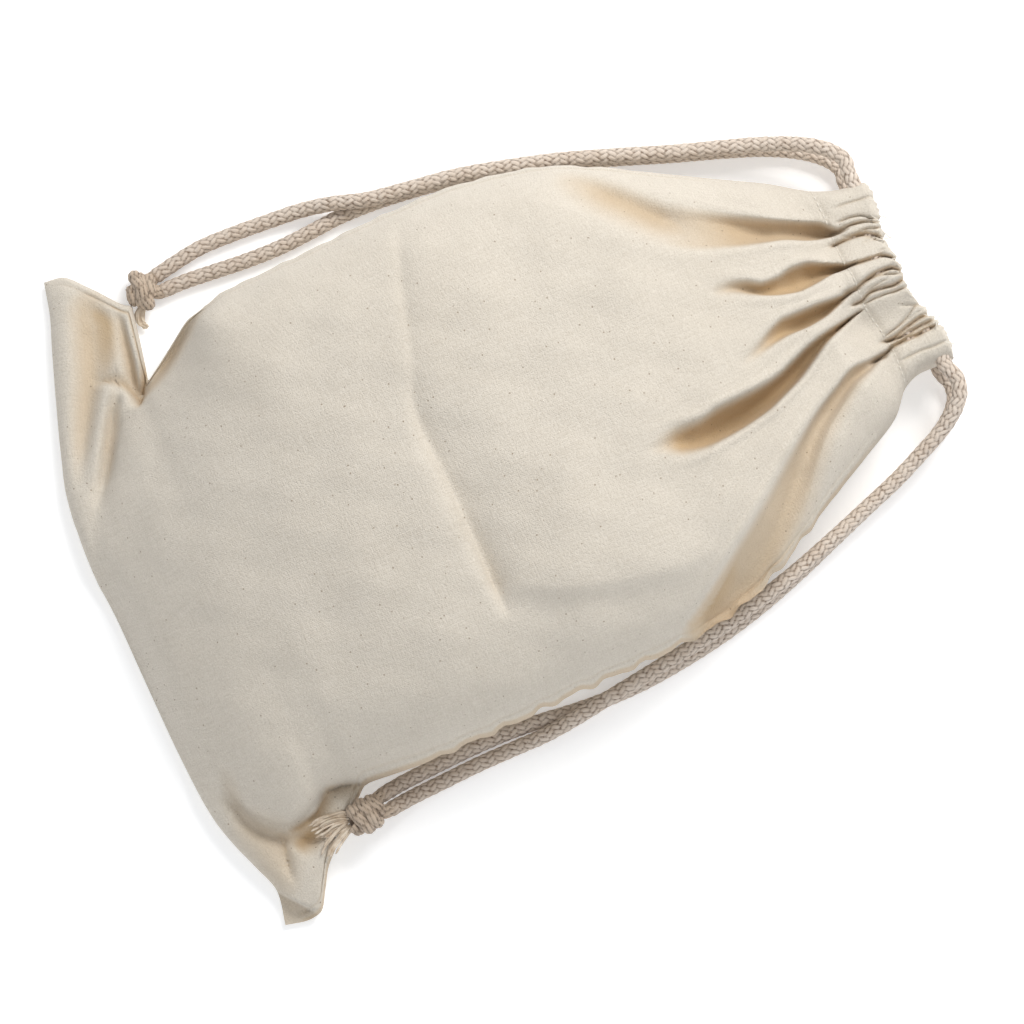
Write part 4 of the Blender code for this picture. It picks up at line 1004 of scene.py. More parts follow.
print("folds:", len(FOLDS))
ROUTE_STEPS = 50        # places for each row of a route
FOLD_REACH = 3.2        # beyond this many half widths a fold is nothing
SHARP_FALL = 1.2
SHARP_ROUND = 0.02      # rounds the very tip of a sharp fold, and SHARP_TIP makes it 1 there
SHARP_TIP = 0.17
ROUND_FALL = 1.3


def fold_depth(x, y, sharp, *route):
    """Depth of a fold and warmth of its painted shade. The nearest place of its route gives its depth there
    and its half width, which may differ on the two sides; a round fold falls off as a bell, a sharp one as an
    exponential."""
    rows = np.array(route, float)
    places = np.linspace(0, len(rows) - 1, ROUTE_STEPS * len(rows))
    line = rows_curve(rows, places)
    reach = FOLD_REACH * rows[:, 2:4].max()
    near = ((x > rows[:, 0].min() - reach) & (x < rows[:, 0].max() + reach)
            & (y > rows[:, 1].min() - reach) & (y < rows[:, 1].max() + reach))
    px, py = x[near][:, None], y[near][:, None]
    depth, warm = np.zeros_like(x), np.zeros_like(x)
    gap = (px - line[:, 0]) ** 2 + (py - line[:, 1]) ** 2
    nearest = gap.argmin(1)
    ahead = np.gradient(line[:, :2], axis=0)[nearest]
    there = line[nearest]
    aside = ahead[:, 0] * (py[:, 0] - there[:, 1]) - ahead[:, 1] * (px[:, 0] - there[:, 0])
    width = np.where(aside > 0, there[:, 2], there[:, 3])
    away = np.sqrt(gap.min(1)) / width
    fall = SHARP_FALL * np.sqrt(away ** 2 + SHARP_ROUND) - SHARP_TIP if sharp else ROUND_FALL * away ** 2
    bell = np.exp(-fall)
    depth[near], warm[near] = there[:, 4] * bell, there[:, 5] * bell
    return depth, warm


CORNER_FOLD = ((157.0, 17.0), (175.8, 31.5))
CORNER_SOFT = (-0.3, 0.9)
CORNER_START_X = 148
CORNER_LOW = 3.2


def corner_under(x, y, height):
    """Height with the tip of the right corner turned under: past the line of its fold only the lower layer
    is left. Also where that layer shows, for the shade painted on it."""
    (x0, y0), (x1, y1) = CORNER_FOLD
    past = ((x - x0) * (y1 - y0) - (y - y0) * (x1 - x0)) / math.hypot(x1 - x0, y1 - y0)
    share = (1 - fade(past, *CORNER_SOFT)) * (x > CORNER_START_X)
    return height + (np.minimum(height, CORNER_LOW) - height) * share, share


# Small waves: length, direction in degrees, phase, height.
WAVES = ((62, 24, 0.4, .50), (47, 118, 2.1, .42), (35, 71, 4.0, .30), (27, 160, 1.2, .22), (88, 95, 5.2, .60),
         (19, 38, 3.3, .12), (15, 140, 0.9, .09))


def small_waves(x, y):
    """Sum of long, low waves in several directions."""
    total = 0
    for length, heading, phase, height in WAVES:
        along = x * math.cos(math.radians(heading)) + y * math.sin(math.radians(heading))
        total = total + height * np.sin(2 * math.pi * along / length + phase)
    return total


WELT_WIDTH = 4.6
WELT_RISE = 1.1
WELT_SINK = 1.1
WELT_STEP = 1.2         # how broad the step down from the welt is
WELT_LINE = 0.4         # from the welt to the sunk line
WELT_LINE_HALF = 0.8
EDGE_SHADE = 3.8         # painted shade: the right-hand edge is darker than the welt's sunk line
EDGE_SOFT = (1.2, 2.8)
WELT_START = (.004, .03)    # stretches of the way up over which it begins and ends
WELT_END = (.80, .92)


def welt(across, up):
    """Raised welt along each side seam with a thin sunk line on its inner side, and its painted shade: how
    deep in that line each point is, and more than that on the whole right-hand edge."""
    x, _ = plan(np.array([0.0, 1.0])[:, None] + 0 * up[None, :, 0], up[None, :, 0])
    width = (x[1] - x[0])[:, None]
    away = (0.5 - np.abs(across - 0.5)) * width
    keep = fade(up, *WELT_END) * (1 - fade(up, *WELT_START))
    line = np.exp(-((away - WELT_WIDTH - WELT_LINE) / WELT_LINE_HALF) ** 2)
    seam_shade = keep * np.maximum(line, EDGE_SHADE * (across > 0.5) * fade(away, *EDGE_SOFT))
    return keep * (WELT_RISE * fade(away, WELT_WIDTH - WELT_STEP, WELT_WIDTH) - WELT_SINK * line), seam_shade


# %% Front of the bag
RIM_ROUND = 3.2
RIM_UP = 0.9            # share of the way up above which the rim is rounded
WAVES_START = (.03, .10)
WAVES_END = (.90, .95)
CREASE_SHADE_WARMTH = 0.6     # how brown the shade painted in a crease of the hem gets, against 1 for a deep pocket
UNDER_SHADE_WARMTH = 0.3      # painted shade of the lower layer at the turned corner
SEAM_SHADE_WARMTH = 0.16      # painted shade of the line beside a side seam and of the right-hand edge
EAR_SHADE_WARMTH = 0.5        # painted shade added to that along the left ear, from EAR_X on and up to EAR_END
EAR_X = -148
EAR_END = (.17, .21)


def front(across, up):
    """Front of the bag with everything on it, and how much shade is painted at each point, in its pockets,
    creases, folds and seams.
    """
    x, y, base, height = cushion(across, up)
    # painted shade of each point, the most that any of the shapes below gives
    hollow = np.zeros_like(x)
    for rows, warm in zip(POCKETS, POCKET_SHADE_WARMTH):
        depth, share, lips = pocket(x, y, rows)
        height = height - depth + lips
        # each pocket paints its shade in
        hollow = np.maximum(hollow, share * warm)
    relief, crease = hem_relief(x, y, up)
    height = height + relief
    # painted shade in the hem's creases
    hollow = np.maximum(hollow, crease * CREASE_SHADE_WARMTH)
    # folds cut into the front and paint their shade in
    for sharp, *route in FOLDS.values():
        depth, warm = fold_depth(x, y, sharp, *route)
        height = height - depth
        hollow = np.maximum(hollow, warm)
    height = height + small_waves(x, y) * fade(up, *WAVES_END) * (1 - fade(up, *WAVES_START))
    near_rim = np.maximum(0, RIM_ROUND - (mouth_edge(x) - y) * (up > RIM_UP))
    height = height - (RIM_ROUND - np.sqrt(np.maximum(RIM_ROUND ** 2 - near_rim ** 2, 0))) * (up > RIM_UP)
    height = LEAST_FRONT + np.logaddexp(0, (height - LEAST_FRONT) * LEAST_SHARPNESS) / LEAST_SHARPNESS
    height, under = corner_under(x, y, height)
    # painted shade on the lower layer at the turned corner
    hollow = np.maximum(hollow, UNDER_SHADE_WARMTH * under)
    side = np.abs(2 * across - 1)
    close = np.sqrt(1 - side ** SIDE_CLOSING) * np.sqrt(1 - start_of(up, FRONT_ROUNDING) ** 2)
    raised, seam_shade = welt(across, up)
    z = base + (height - base) * close + raised * np.sqrt(close)
    # painted shade on the left ear, along its seam
    ear = fade(up, *EAR_END) * (x > EAR_X) * (across < 0.5)
    # painted shade beside the side seams and along the right-hand edge
    hollow = np.maximum(hollow, seam_shade * (SEAM_SHADE_WARMTH + EAR_SHADE_WARMTH * ear))
    return np.stack([x, y, z], -1), hollow


# %% Back of the bag
GATHERS_UP = (.74, .97)     # the gathers of the back grow over this stretch of the way up
# Gathers of the back below the mouth: x in the mouth, half width, height off the surface.
BACK_GATHERS = (
    (-38, 3, 3), (-27, 2.4, 4), (-15, 2.6, 4.5), (-4, 2.2, 5), (7, 2.6, 4.5), (18, 2.4, 5), (29, 2.6, 4),
    (40, 3, 3),
)


def back(across, up):
    """Back of the bag: flat on the surface, turned up to the seams near the sides and the bottom, and with
    its own gathers below the mouth, which fan out and die away."""
    x, y = plan(across, up)
    x = puckers(x, y, across, up)
    base = rest_height(across, up)
    side = np.clip((np.abs(2 * across - 1) - BACK_FLAT) / (1 - BACK_FLAT), 0, 1)
    close = np.sqrt(1 - side ** BACK_CLOSING) * np.sqrt(1 - start_of(up, BACK_ROUNDING) ** 2)
    z = base * (1 - close)
    keep = 1 - fade(up, *GATHERS_UP)
    mouth_x = MOUTH_EDGE[0][0] + across * (MOUTH_EDGE[-1][0] - MOUTH_EDGE[0][0])
    lifted = sum(lift * np.exp(-((mouth_x - place) / half) ** 2) for place, half, lift in BACK_GATHERS)
    return np.stack([x, y, z + keep * close * lifted], -1)


# %% Inside of the bag
CLOTH_WALL = 1.4
LEAST_HOLLOW = 0.8
SEAM_MARGIN = 8.0       # how far inside the side seams the hollow ends
HEM_MARGIN = 3.0        # and the same in the hem
NEAR_ACROSS = 0.012     # how far round a point the lowest place of the outside is looked for
NEAR_UP = 0.009


def inner_walls(across, up):
    """Inside of the front and of the back. It lies under the outside, the cloth's thickness away from the
    lowest place close by, and in the hem a channel's thickness away."""
    outside_front, outside_back = front(across, up)[0], back(across, up)
    low, high = outside_front[..., 2].copy(), outside_back[..., 2].copy()
    for step_across in (-NEAR_ACROSS, 0, NEAR_ACROSS):
        for step_up in (-NEAR_UP, 0, NEAR_UP):
            near = np.clip(across + step_across, 0, 1), np.clip(up + step_up, 0, 1)
            low = np.minimum(low, front(*near)[0][..., 2])
            high = np.maximum(high, back(*near)[..., 2])
    hem = up > CASING_START
    x = outside_front[..., 0]
    thick = CHANNEL_SKIN + CHANNEL_HEIGHT + CHANNEL_EXTRA * mouth_bump(x) + CHANNEL_FLOOR
    low = np.where(hem, mouth_height(x) - thick, low - CLOTH_WALL)
    high = np.where(hem, thick, high + CLOTH_WALL)
    middle = (low + high) / 2
    low = np.maximum(low, middle + LEAST_HOLLOW / 2)
    high = np.minimum(high, middle - LEAST_HOLLOW / 2)
    flat = outside_front[..., :2]
    return tuple(np.concatenate([flat, height[..., None]], -1) for height in (low, high))


# %% [markdown]
# ### One closed mesh
# Front and back share the points of the side seams and of the bottom fold. At the mouth, a rounded rim with
# the gathers running over it joins the outside to the inside, so the whole bag is one closed skin with a
# hollow in it. Rows are crowded where the shape is fine: at the bottom fold, in the pockets and in the hem.

# %% Grid of the cloth
FRONT_COLUMNS = 216
CROWDING = 0.055
FIRST_CROWDING = 1.7    # power that crowds the first rows towards the bottom fold
INNER_STEP = 4          # columns of the outside for each one of the inside
INNER_ROWS = (*np.linspace(.035, .5, 22), *np.linspace(.52, .945, 34), .9469, .9471, .97, 1)
INNER_SHADE = 0.5       # painted shade: how brown the inside of the bag is


def spread(count, crowding):
    """Even places from 0 to 1, crowded towards both ends."""
    even = np.linspace(0, 1, count + 1)
    return even - crowding * np.sin(2 * math.pi * even)


# Stretches of the way up: end, number of rows.
ROW_STRETCHES = ((.042, 18), (.20, 50), (.38, 24), (.50, 36), (.64, 18), (.92, 84), (1.0, 34))
start = 0
rows = [0.0]
for end, number in ROW_STRETCHES:
    steps = np.linspace(0, 1, number + 1)[1:]
    if start == 0:
        steps = steps ** FIRST_CROWDING
    rows += (start + (end - start) * steps).tolist()
    start = end
rows = np.array(rows)
across = spread(FRONT_COLUMNS, CROWDING)
grid_across, grid_up = np.meshgrid(across, rows)
front_points, front_hollow = front(grid_across, grid_up)
back_points = back(*np.meshgrid(across[::2], rows))
back_points[:, [0, -1]] = front_points[:, [0, -1]]
back_points[0] = front_points[0, ::2]
inner_rows = np.array(INNER_ROWS)
widths = front_points[:, -1, 0] - front_points[:, 0, 0]
margin = np.where(inner_rows > CASING_START, HEM_MARGIN, SEAM_MARGIN) / np.interp(inner_rows, rows, widths)
inner_across = margin[:, None] + (1 - 2 * margin[:, None]) * across[::INNER_STEP]
inner_up = np.repeat(inner_rows[:, None], inner_across.shape[1], 1)
inner_front, inner_back = inner_walls(inner_across, inner_up)
print("front grid:", front_points.shape[:2], " lowest, highest, mm:", front_points[..., 2].min().round(1),
      front_points[..., 2].max().round(1))

# %% Rim of the mouth
RIM_ROWS = 7
RIM_BULGE = 2.2
RAGGED = ((0.35, 1.9, 0), (0.25, 3.7, 1))   # unevenness of the rim: height, radians for 1 mm, phase
DIP_COLUMNS = (-6, -3, 0, 3, 6)             # a gather is lower than the highest of these columns around it
DIP_SHARE = 0.6


def rim(outer, inner, bulge):
    """Rows between the outer and the inner edge of the mouth, rounded outwards like half an ellipse. Where
    the outer edge dips into a gather, the rim is drawn in as well."""
    t = np.linspace(0, 1, RIM_ROWS + 2)[1:-1, None, None]
    between = outer + (inner - outer) * t
    dip = outer[..., 2] - np.maximum.reduce([np.roll(outer[..., 2], k) for k in DIP_COLUMNS])
    ragged = sum(height * np.sin(waves * outer[..., 0] + phase) for height, waves, phase in RAGGED)
    between[..., 1] += (bulge + ragged + DIP_SHARE * dip) * np.sin(math.pi * t[..., 0])
    return between


def inner_edge(wall, step):
    """Points of a wall's last row under the columns of the outside."""
    at = margin[-1] + (1 - 2 * margin[-1]) * across[::step]
    return points_at(at, inner_across[-1], wall[-1])


front_rim = rim(front_points[-1], inner_edge(inner_front, 1), RIM_BULGE)
back_rim = rim(back_points[-1], inner_edge(inner_back, 2), RIM_BULGE)
print("rim:", RIM_ROWS, "rows, lowest gather, mm:", front_points[-1, :, 2].min().round(1))


# %% Faces of the cloth
def grid_faces(ids, flip):
    """Quads of a grid of vertex numbers."""
    a, b, c, d = ids[:-1, :-1], ids[:-1, 1:], ids[1:, 1:], ids[1:, :-1]
    quads = np.stack([a, b, c, d], -1).reshape(-1, 4)
    return quads[:, ::-1].tolist() if flip else quads.tolist()


def fan_faces(many, few, flip):
    """Faces between a row of points and a sparser one, several points of the first for each step of the
    other."""
    step = (len(many) - 1) // (len(few) - 1)
    faces = []
    for k in range(len(few) - 1):
        face = [*many[step * k:step * k + step + 1].tolist(), int(few[k + 1]), int(few[k])]
        faces.append(face[::-1] if flip else face)
    return faces


grids = (front_points, back_points, front_rim, back_rim, inner_front, inner_back)
numbers, total = [], 0
for grid in grids:
    numbers.append(total + np.arange(grid[..., 0].size).reshape(grid.shape[:2]))
    total += numbers[-1].size
front_ids, back_ids, front_rim_ids, back_rim_ids, inner_front_ids, inner_back_ids = numbers
back_ids[:, [0, -1]] = front_ids[:, [0, -1]]
faces = grid_faces(np.concatenate([front_ids, front_rim_ids]), False)
faces += grid_faces(np.concatenate([back_ids[1:], back_rim_ids]), True)
faces += fan_faces(front_ids[0], back_ids[1], True)
faces += fan_faces(front_rim_ids[-1], inner_front_ids[-1], False)
faces += fan_faces(back_rim_ids[-1], inner_back_ids[-1], True)
faces += grid_faces(inner_front_ids, True) + grid_faces(inner_back_ids, False)
faces += grid_faces(np.stack([inner_front_ids[:, 0], inner_back_ids[:, 0]], 1), True)
faces += grid_faces(np.stack([inner_back_ids[:, -1], inner_front_ids[:, -1]], 1), True)
faces += grid_faces(np.stack([inner_back_ids[0], inner_front_ids[0]]), True)
for edge, one, other in ((0, (front_rim_ids, inner_front_ids), (back_rim_ids, inner_back_ids)),
                         (-1, (back_rim_ids, inner_back_ids), (front_rim_ids, inner_front_ids))):
    faces.append([int(front_ids[-1, edge]), *one[0][:, edge].tolist(), int(one[1][-1, edge]),
                  int(other[1][-1, edge]), *other[0][::-1, edge].tolist()])
print("faces:", len(faces))


# %% Cloth mesh
def run_lengths(points):
    """Flat coordinates of a grid of points, in metres: along a row from its middle, and up the middle of
    the rows, both measured on the surface."""
    along = np.linalg.norm(np.diff(points, axis=1), axis=-1).cumsum(1)
    along = np.concatenate([np.zeros((len(points), 1)), along], 1)
    along = along - along[:, [points.shape[1] // 2]]
    upwards = np.linalg.norm(np.diff(points, axis=0), axis=-1).mean(1).cumsum()
    upwards = np.concatenate([[0], upwards])[:, None] + 0 * along
    return np.stack([along, upwards], -1) * MM


def joined(*grids):
    """All points of some grids in one list."""
    return np.concatenate([grid.reshape(-1, grid.shape[-1]) for grid in grids])


def rim_lengths(outside, rim_points):
    """Flat coordinates of a rim: those of its outer edge, carried on over it."""
    away = np.linalg.norm(rim_points - outside[-1], axis=-1) * MM
    edge = run_lengths(outside)[-1]
    return np.stack([edge[:, 0] + 0 * away, edge[:, 1] + away], -1)


points = joined(*grids)
layer = joined(run_lengths(front_points), run_lengths(back_points), rim_lengths(front_points, front_rim),
               rim_lengths(back_points, back_rim), run_lengths(inner_front), run_lengths(inner_back))
# the shade painted on each point: the front's own, and an even one on the inside
hollow = np.zeros(len(points))
hollow[:front_hollow.size] = front_hollow.ravel()
hollow[inner_front_ids.min():] = INNER_SHADE
used = np.zeros(len(points), bool)
used[np.concatenate([np.array(face) for face in faces])] = True
renumber = np.cumsum(used) - 1
faces = [renumber[face].tolist() for face in faces]
bag = add_mesh("cotton_bag", to_frame(points[used]), faces, layer[used], hollow=hollow[used])
print("cotton_bag:", used.sum(), "points,", len(faces), "faces")

# %% [markdown]
# ### Ends of the hem
# At both ends of the hem, the cords come out of two holes, one in the front half of the hem and one in the
# back half. They are cut with a Boolean modifier, because a hole across the gathers would be hard to build
# into the grid; the modifier is applied, and the cutters are removed.

# %% Cord holes
HOLE_START = 37.0
HOLE_END = 75.0
HOLE_STEPS = 9
SHARP_ANGLE = 75        # edges that turn by more than this, in degrees, are drawn sharp


def hole_cutter(end, side):
    """Loft of rectangles that follows the mouth's edge outwards from the hem."""
    x = end * np.linspace(HOLE_START, HOLE_END, HOLE_STEPS)
    y = channel_line(x)
    z, tall = channel_middle(x, side)
    corners = np.array([(-1, -1), (1, -1), (1, 1), (-1, 1)])[::int(end)]
    section = [np.stack([x, y + a * CHANNEL_WIDTH / 2, z + b * tall / 2], -1) for a, b in corners]
    return add_mesh("hole", to_frame(np.stack(section, 1).reshape(-1, 3)), tube_faces(len(x), 4))


cutters = [hole_cutter(end, side) for end in (-1, 1) for side in (-1, 1)]
for cutter in cutters:
    modifier = bag.modifiers.new("hole", "BOOLEAN")
    modifier.operation = "DIFFERENCE"
    modifier.solver = "MANIFOLD"
    modifier.object = cutter
before = bag.data
bag.data = bpy.data.meshes.new_from_object(bag.evaluated_get(bpy.context.evaluated_depsgraph_get()))
bag.data.name = "cotton_bag"
bag.modifiers.clear()
bpy.data.meshes.remove(before)
for cutter in cutters:
    bpy.data.objects.remove(cutter, do_unlink=True)
bag.data.shade_smooth()
bag.data.set_sharp_from_angle(angle=math.radians(SHARP_ANGLE))
triangles = sum(len(face.vertices) - 2 for face in bag.data.polygons)
print("cotton_bag:", triangles, "triangles, layers:", bag.data.uv_layers.keys(), bag.data.attributes.keys())

# %% [markdown]
# ### Stitches of the hem
# One line of stitches holds the hem down. Each stitch is a short, thin, arched tube on the surface; a table
# of nearly four dozen would be dull, so the line is walked by its length, and stitches that would lie inside
# a gather are left out. A few loose threads stand on the rim of the mouth, where the cloth has worn.

# %% Stitches
STITCH_LENGTH = 2.5
STITCH_GAP = 1.0
STITCH_RADIUS = 0.3
STITCH_LIFT = 0.12
STITCH_ARCH = 0.25
STITCH_POINTS = 7
FIRST_STITCH = 1.5
GATHER_LIMIT = 0.45     # no stitch is seen where a gather is deeper than this share
walk_across = np.linspace(0.02, 0.98, 1500)[None]
walk, depth_there = (found[0] for found in front(walk_across, np.full_like(walk_across, STITCH_LINE)))
run = run_along(walk)
starts = np.arange(FIRST_STITCH, run[-1] - STITCH_LENGTH, STITCH_LENGTH + STITCH_GAP)
places = starts[:, None] + np.linspace(0, STITCH_LENGTH, STITCH_POINTS)
places = places[np.interp(places, run, depth_there).max(1) < GATHER_LIMIT]
tracks = points_at(places, run, walk)
tracks[..., 2] += STITCH_LIFT + STITCH_ARCH * np.sin(np.linspace(0, math.pi, STITCH_POINTS))
points, faces = thin_tubes(tracks, STITCH_RADIUS)
stitches = add_mesh("hem_stitches", to_frame(points), faces)
print("stitches:", len(tracks))

# %% Loose threads on the rim
# Start and end of each thread: x, y, height above the plain hem; then its sideways bow.
WISPS = (
    (-30, 427, 1.2, -22, 432.6, 0.4, 1.2), (-27, 431, 1.0, -24, 434.2, 0.2, -0.8),
    (-21, 428.6, 1.4, -13, 431, 0.8, 1.0), (-17, 426, 1.4, -15, 431.6, 0.6, 1.5),
    (-3, 425, 1.5, 2, 430, 0.4, -1.2), (13, 426, 1.6, 17, 431.4, 0.5, 0.9),
    (27, 430, 1.2, 30, 437, 0.2, 1.4), (36, 433, 1.2, 31, 438.6, 0.2, -1.0),
    (44, 434, 1.0, 47, 439.4, 0.1, 0.8),
)
WISP_RADIUS = 0.22
WISP_POINTS = 12
ends = np.array(WISPS)
t = np.linspace(0, 1, WISP_POINTS)[None, :, None]
tracks = ends[:, None, 0:3] * (1 - t) + ends[:, None, 3:6] * t
tracks[..., 0] += ends[:, 6:7] * np.sin(math.pi * t[..., 0])
tracks[..., 2] += mouth_height(tracks[..., 0]) + PAD_RISE
points, faces = thin_tubes(tracks, WISP_RADIUS)
wisps = add_mesh("loose_threads", to_frame(points), faces)
print("loose threads:", len(tracks))

# %% [markdown]
# ## Materials
# Cotton is matt and a little fuzzy, so its shader is rough with a touch of sheen. What makes it look like
# unbleached cloth is in its colour and its bump: a plain weave, threads that are thicker here and there, a
# fine fuzz, dark specks of seed, and slow changes of tone. Each of these is a node group of its own, so the
# cloth, the cords and the frayed yarn can use the same ones at their own scale. Near its knot, a cord is
# darker from the hands that pull it.
# Shade is painted into the colour too: a warmer tan in the cloth's pockets, creases and folds, and dark in
# the gaps of the braid.

# %% Node helpers
def add_node(tree, kind, inputs=None, **settings):
    """Node with its settings and its inputs. An input is a plain value, three numbers for a colour, or
    another node's output."""
    node = tree.nodes.new(kind)
    for key, value in settings.items():
        setattr(node, key, value)
    for key, value in (inputs or {}).items():
        if isinstance(value, bpy.types.NodeSocket):
            tree.links.new(value, node.inputs[key])
        else:
            colour = node.inputs[key].type == "RGBA"
            node.inputs[key].default_value = (*value, 1) if colour else value
    return node


def maths(tree, operation, *values):
    """Output of a Math node."""
    return add_node(tree, "ShaderNodeMath", dict(enumerate(values)), operation=operation).outputs[0]


def weighted(tree, total, *terms):
    """total plus each term's value times its weight."""
    for value, weight in terms:
        total = maths(tree, "MULTIPLY_ADD", value, weight, total)
    return total


def remap(tree, value, low, high, new_low=0, new_high=1):
    """Value moved from one range to another, and kept inside it."""
    inputs = {"Value": value, "From Min": low, "From Max": high, "To Min": new_low, "To Max": new_high}
    return add_node(tree, "ShaderNodeMapRange", inputs).outputs[0]


def mix(tree, share, one, other):
    """Mix of two colours."""
    return add_node(tree, "ShaderNodeMix", {0: share, 6: one, 7: other}, data_type="RGBA").outputs[2]


def noise(tree, place, scale, detail, roughness):
    """Value of a noise texture."""
    inputs = {"Vector": place, "Scale": scale, "Detail": detail, "Roughness": roughness}
    return add_node(tree, "ShaderNodeTexNoise", inputs).outputs[0]


def attribute(tree, name):
    """Value that a mesh carries under a name."""
    return add_node(tree, "ShaderNodeAttribute", attribute_name=name).outputs["Fac"]


def new_group(name, **inputs):
    """Shader node group with one value as its result; its inputs' types are given by name. Returns its tree,
    its inputs and its result."""
    tree = bpy.data.node_groups.new(name, "ShaderNodeTree")
    for key, kind in inputs.items():
        tree.interface.new_socket(key, in_out="INPUT", socket_type="NodeSocket" + kind)
    tree.interface.new_socket("Value", in_out="OUTPUT", socket_type="NodeSocketFloat")
    return tree, tree.nodes.new("NodeGroupInput").outputs, tree.nodes.new("NodeGroupOutput").inputs["Value"]


def use_group(tree, group, **inputs):
    """Value of a group in another tree."""
    return add_node(tree, "ShaderNodeGroup", inputs, node_tree=group).outputs[0]


# %% Weave and thread groups
THREAD_STRETCH = ((45, 1500, 1), (1500, 45, 1))     # threads that run one way, and threads that run the other
weave_group, given, result = new_group("plain weave", Flat="Vector", Thread="Float")
waves = []
for part in add_node(weave_group, "ShaderNodeSeparateXYZ", {0: given["Flat"]}).outputs[:2]:
    angle = maths(weave_group, "DIVIDE", maths(weave_group, "MULTIPLY", part, math.pi), given["Thread"])
    waves.append(maths(weave_group, "SINE", angle))
weave_group.links.new(remap(weave_group, maths(weave_group, "MULTIPLY", *waves), -1, 1), result)

thread_group, given, result = new_group("uneven threads", Flat="Vector")
halves = []
for scale in THREAD_STRETCH:
    stretched = add_node(thread_group, "ShaderNodeMapping", {"Vector": given["Flat"], "Scale": scale})
    halves.append((noise(thread_group, stretched.outputs[0], scale=1.0, detail=2.0, roughness=0.6), 0.5))
thread_group.links.new(weighted(thread_group, 0.0, *halves), result)


# %% Fuzz, tone and speck groups
def noise_group(name, detail, roughness, low, high):
    """Group that gives noise at a scale, stretched so that low becomes 0 and high becomes 1."""
    group, given, result = new_group(name, Place="Vector", Scale="Float")
    value = noise(group, given["Place"], given["Scale"], detail, roughness)
    group.links.new(remap(group, value, low, high), result)
    return group


SPECK_SCALE = 220.0         # cells in 1 m, each with a speck or none
SPECK_EDGE = (0.070, 0.120)     # over which share of a cell a speck ends
SPECK_NONE = 0.50           # share of the cells without one
fuzz_group = noise_group("fuzzy grain", detail=3.0, roughness=0.65, low=0.32, high=0.68)
tone_group = noise_group("slow change of tone", detail=4.0, roughness=0.55, low=0.3, high=0.7)
speck_group, given, result = new_group("seed specks", Place="Vector")
spots = add_node(speck_group, "ShaderNodeTexVoronoi",
                 {"Vector": given["Place"], "Scale": SPECK_SCALE, "Randomness": 1.0}).outputs
near = remap(speck_group, spots["Distance"], *SPECK_EDGE, 1, 0)
pick = add_node(speck_group, "ShaderNodeSeparateColor", {0: spots["Color"]}).outputs[0]
chosen = maths(speck_group, "GREATER_THAN", pick, SPECK_NONE)
speck_group.links.new(maths(speck_group, "MULTIPLY", near, chosen), result)
print("node groups:", [group.name for group in bpy.data.node_groups])

# %% Cotton cloth
THREAD = 0.00062        # from one thread of the weave to the next, in metres
CLOTH_LIGHT = (0.755, 0.690, 0.595)
CLOTH_DARK = (0.620, 0.555, 0.462)
# warm tan painted where shade falls in pockets, creases and folds
CLOTH_PAINTED_SHADE = (0.580, 0.400, 0.205)
SEED_COLOUR = (0.260, 0.180, 0.110)
PAINTED_SHADE_TINT = (0.05, 1.0, 0, 0.85)      # painted shade: range of the depth in a fold, and of the share of brown it gives
SPECULAR = 0.25
SHEEN_ROUGHNESS = 0.6


def new_material(name, roughness, sheen):
    """Material with its tree, its shader and the Object and Flat coordinates."""
    material = bpy.data.materials.new(name)
    material.use_nodes = True
    tree = material.node_tree
    shader = tree.nodes["Principled BSDF"]
    shader.inputs["Roughness"].default_value = roughness
    shader.inputs["Specular IOR Level"].default_value = SPECULAR
    shader.inputs["Sheen Weight"].default_value = sheen
    shader.inputs["Sheen Roughness"].default_value = SHEEN_ROUGHNESS
    place = tree.nodes.new("ShaderNodeTexCoord").outputs["Object"]
    flat = add_node(tree, "ShaderNodeUVMap", uv_map="weave").outputs[0]
    return material, tree, shader, place, flat


def add_bump(tree, shader, height, distance, strength):
    """Bump from a height of 0 to 1, which stands for a distance in metres."""
    bump = add_node(tree, "ShaderNodeBump", {"Height": height, "Distance": distance, "Strength": strength})
    tree.links.new(bump.outputs[0], shader.inputs["Normal"])


def speckled(tree, place, colour, amount):
    """Colour with seed specks on it."""
    specks = maths(tree, "MULTIPLY", use_group(tree, speck_group, Place=place), amount)
    return mix(tree, specks, colour, SEED_COLOUR)


cotton, tree, shader, place, flat = new_material("unbleached cotton", roughness=0.92, sheen=0.15)
uneven = use_group(tree, thread_group, Flat=flat)
tone = use_group(tree, tone_group, Place=place, Scale=14.0)
weave = use_group(tree, weave_group, Flat=flat, Thread=THREAD)
fuzz = use_group(tree, fuzz_group, Place=place, Scale=1100.0)
threads = remap(tree, uneven, 0.36, 0.64)
# The first number makes up for the means of the others, and keeps the sum at about 0.4.
share = weighted(tree, -0.3, (threads, 0.55), (tone, 0.25), (weave, -0.2), (fuzz, 0.8))
colour = mix(tree, share, CLOTH_LIGHT, CLOTH_DARK)
# painted shade: in a pocket, crease or fold the colour turns a darker tan
colour = mix(tree, remap(tree, attribute(tree, "hollow"), *PAINTED_SHADE_TINT), colour, CLOTH_PAINTED_SHADE)
tree.links.new(speckled(tree, place, colour, amount=0.7), shader.inputs["Base Color"])
add_bump(tree, shader, weighted(tree, fuzz, (weave, 0.3), (uneven, 1.2)), distance=0.0003, strength=0.9)

# %% Braided cord
YARN_LIGHT = (0.820, 0.730, 0.640)
YARN_DARK = (0.640, 0.525, 0.425)
# painted shade: the colour of the gaps between strands
YARN_GAP_SHADE = (0.190, 0.122, 0.076)
YARN_HANDLED = (0.640, 0.525, 0.415)    # darkened where hands pull the cord tight
YARN_WORN = (0.430, 0.325, 0.235)
# painted shade in the gaps of a handled cord, which is also darker from wear
YARN_WORN_GAP_SHADE = (0.080, 0.050, 0.030)


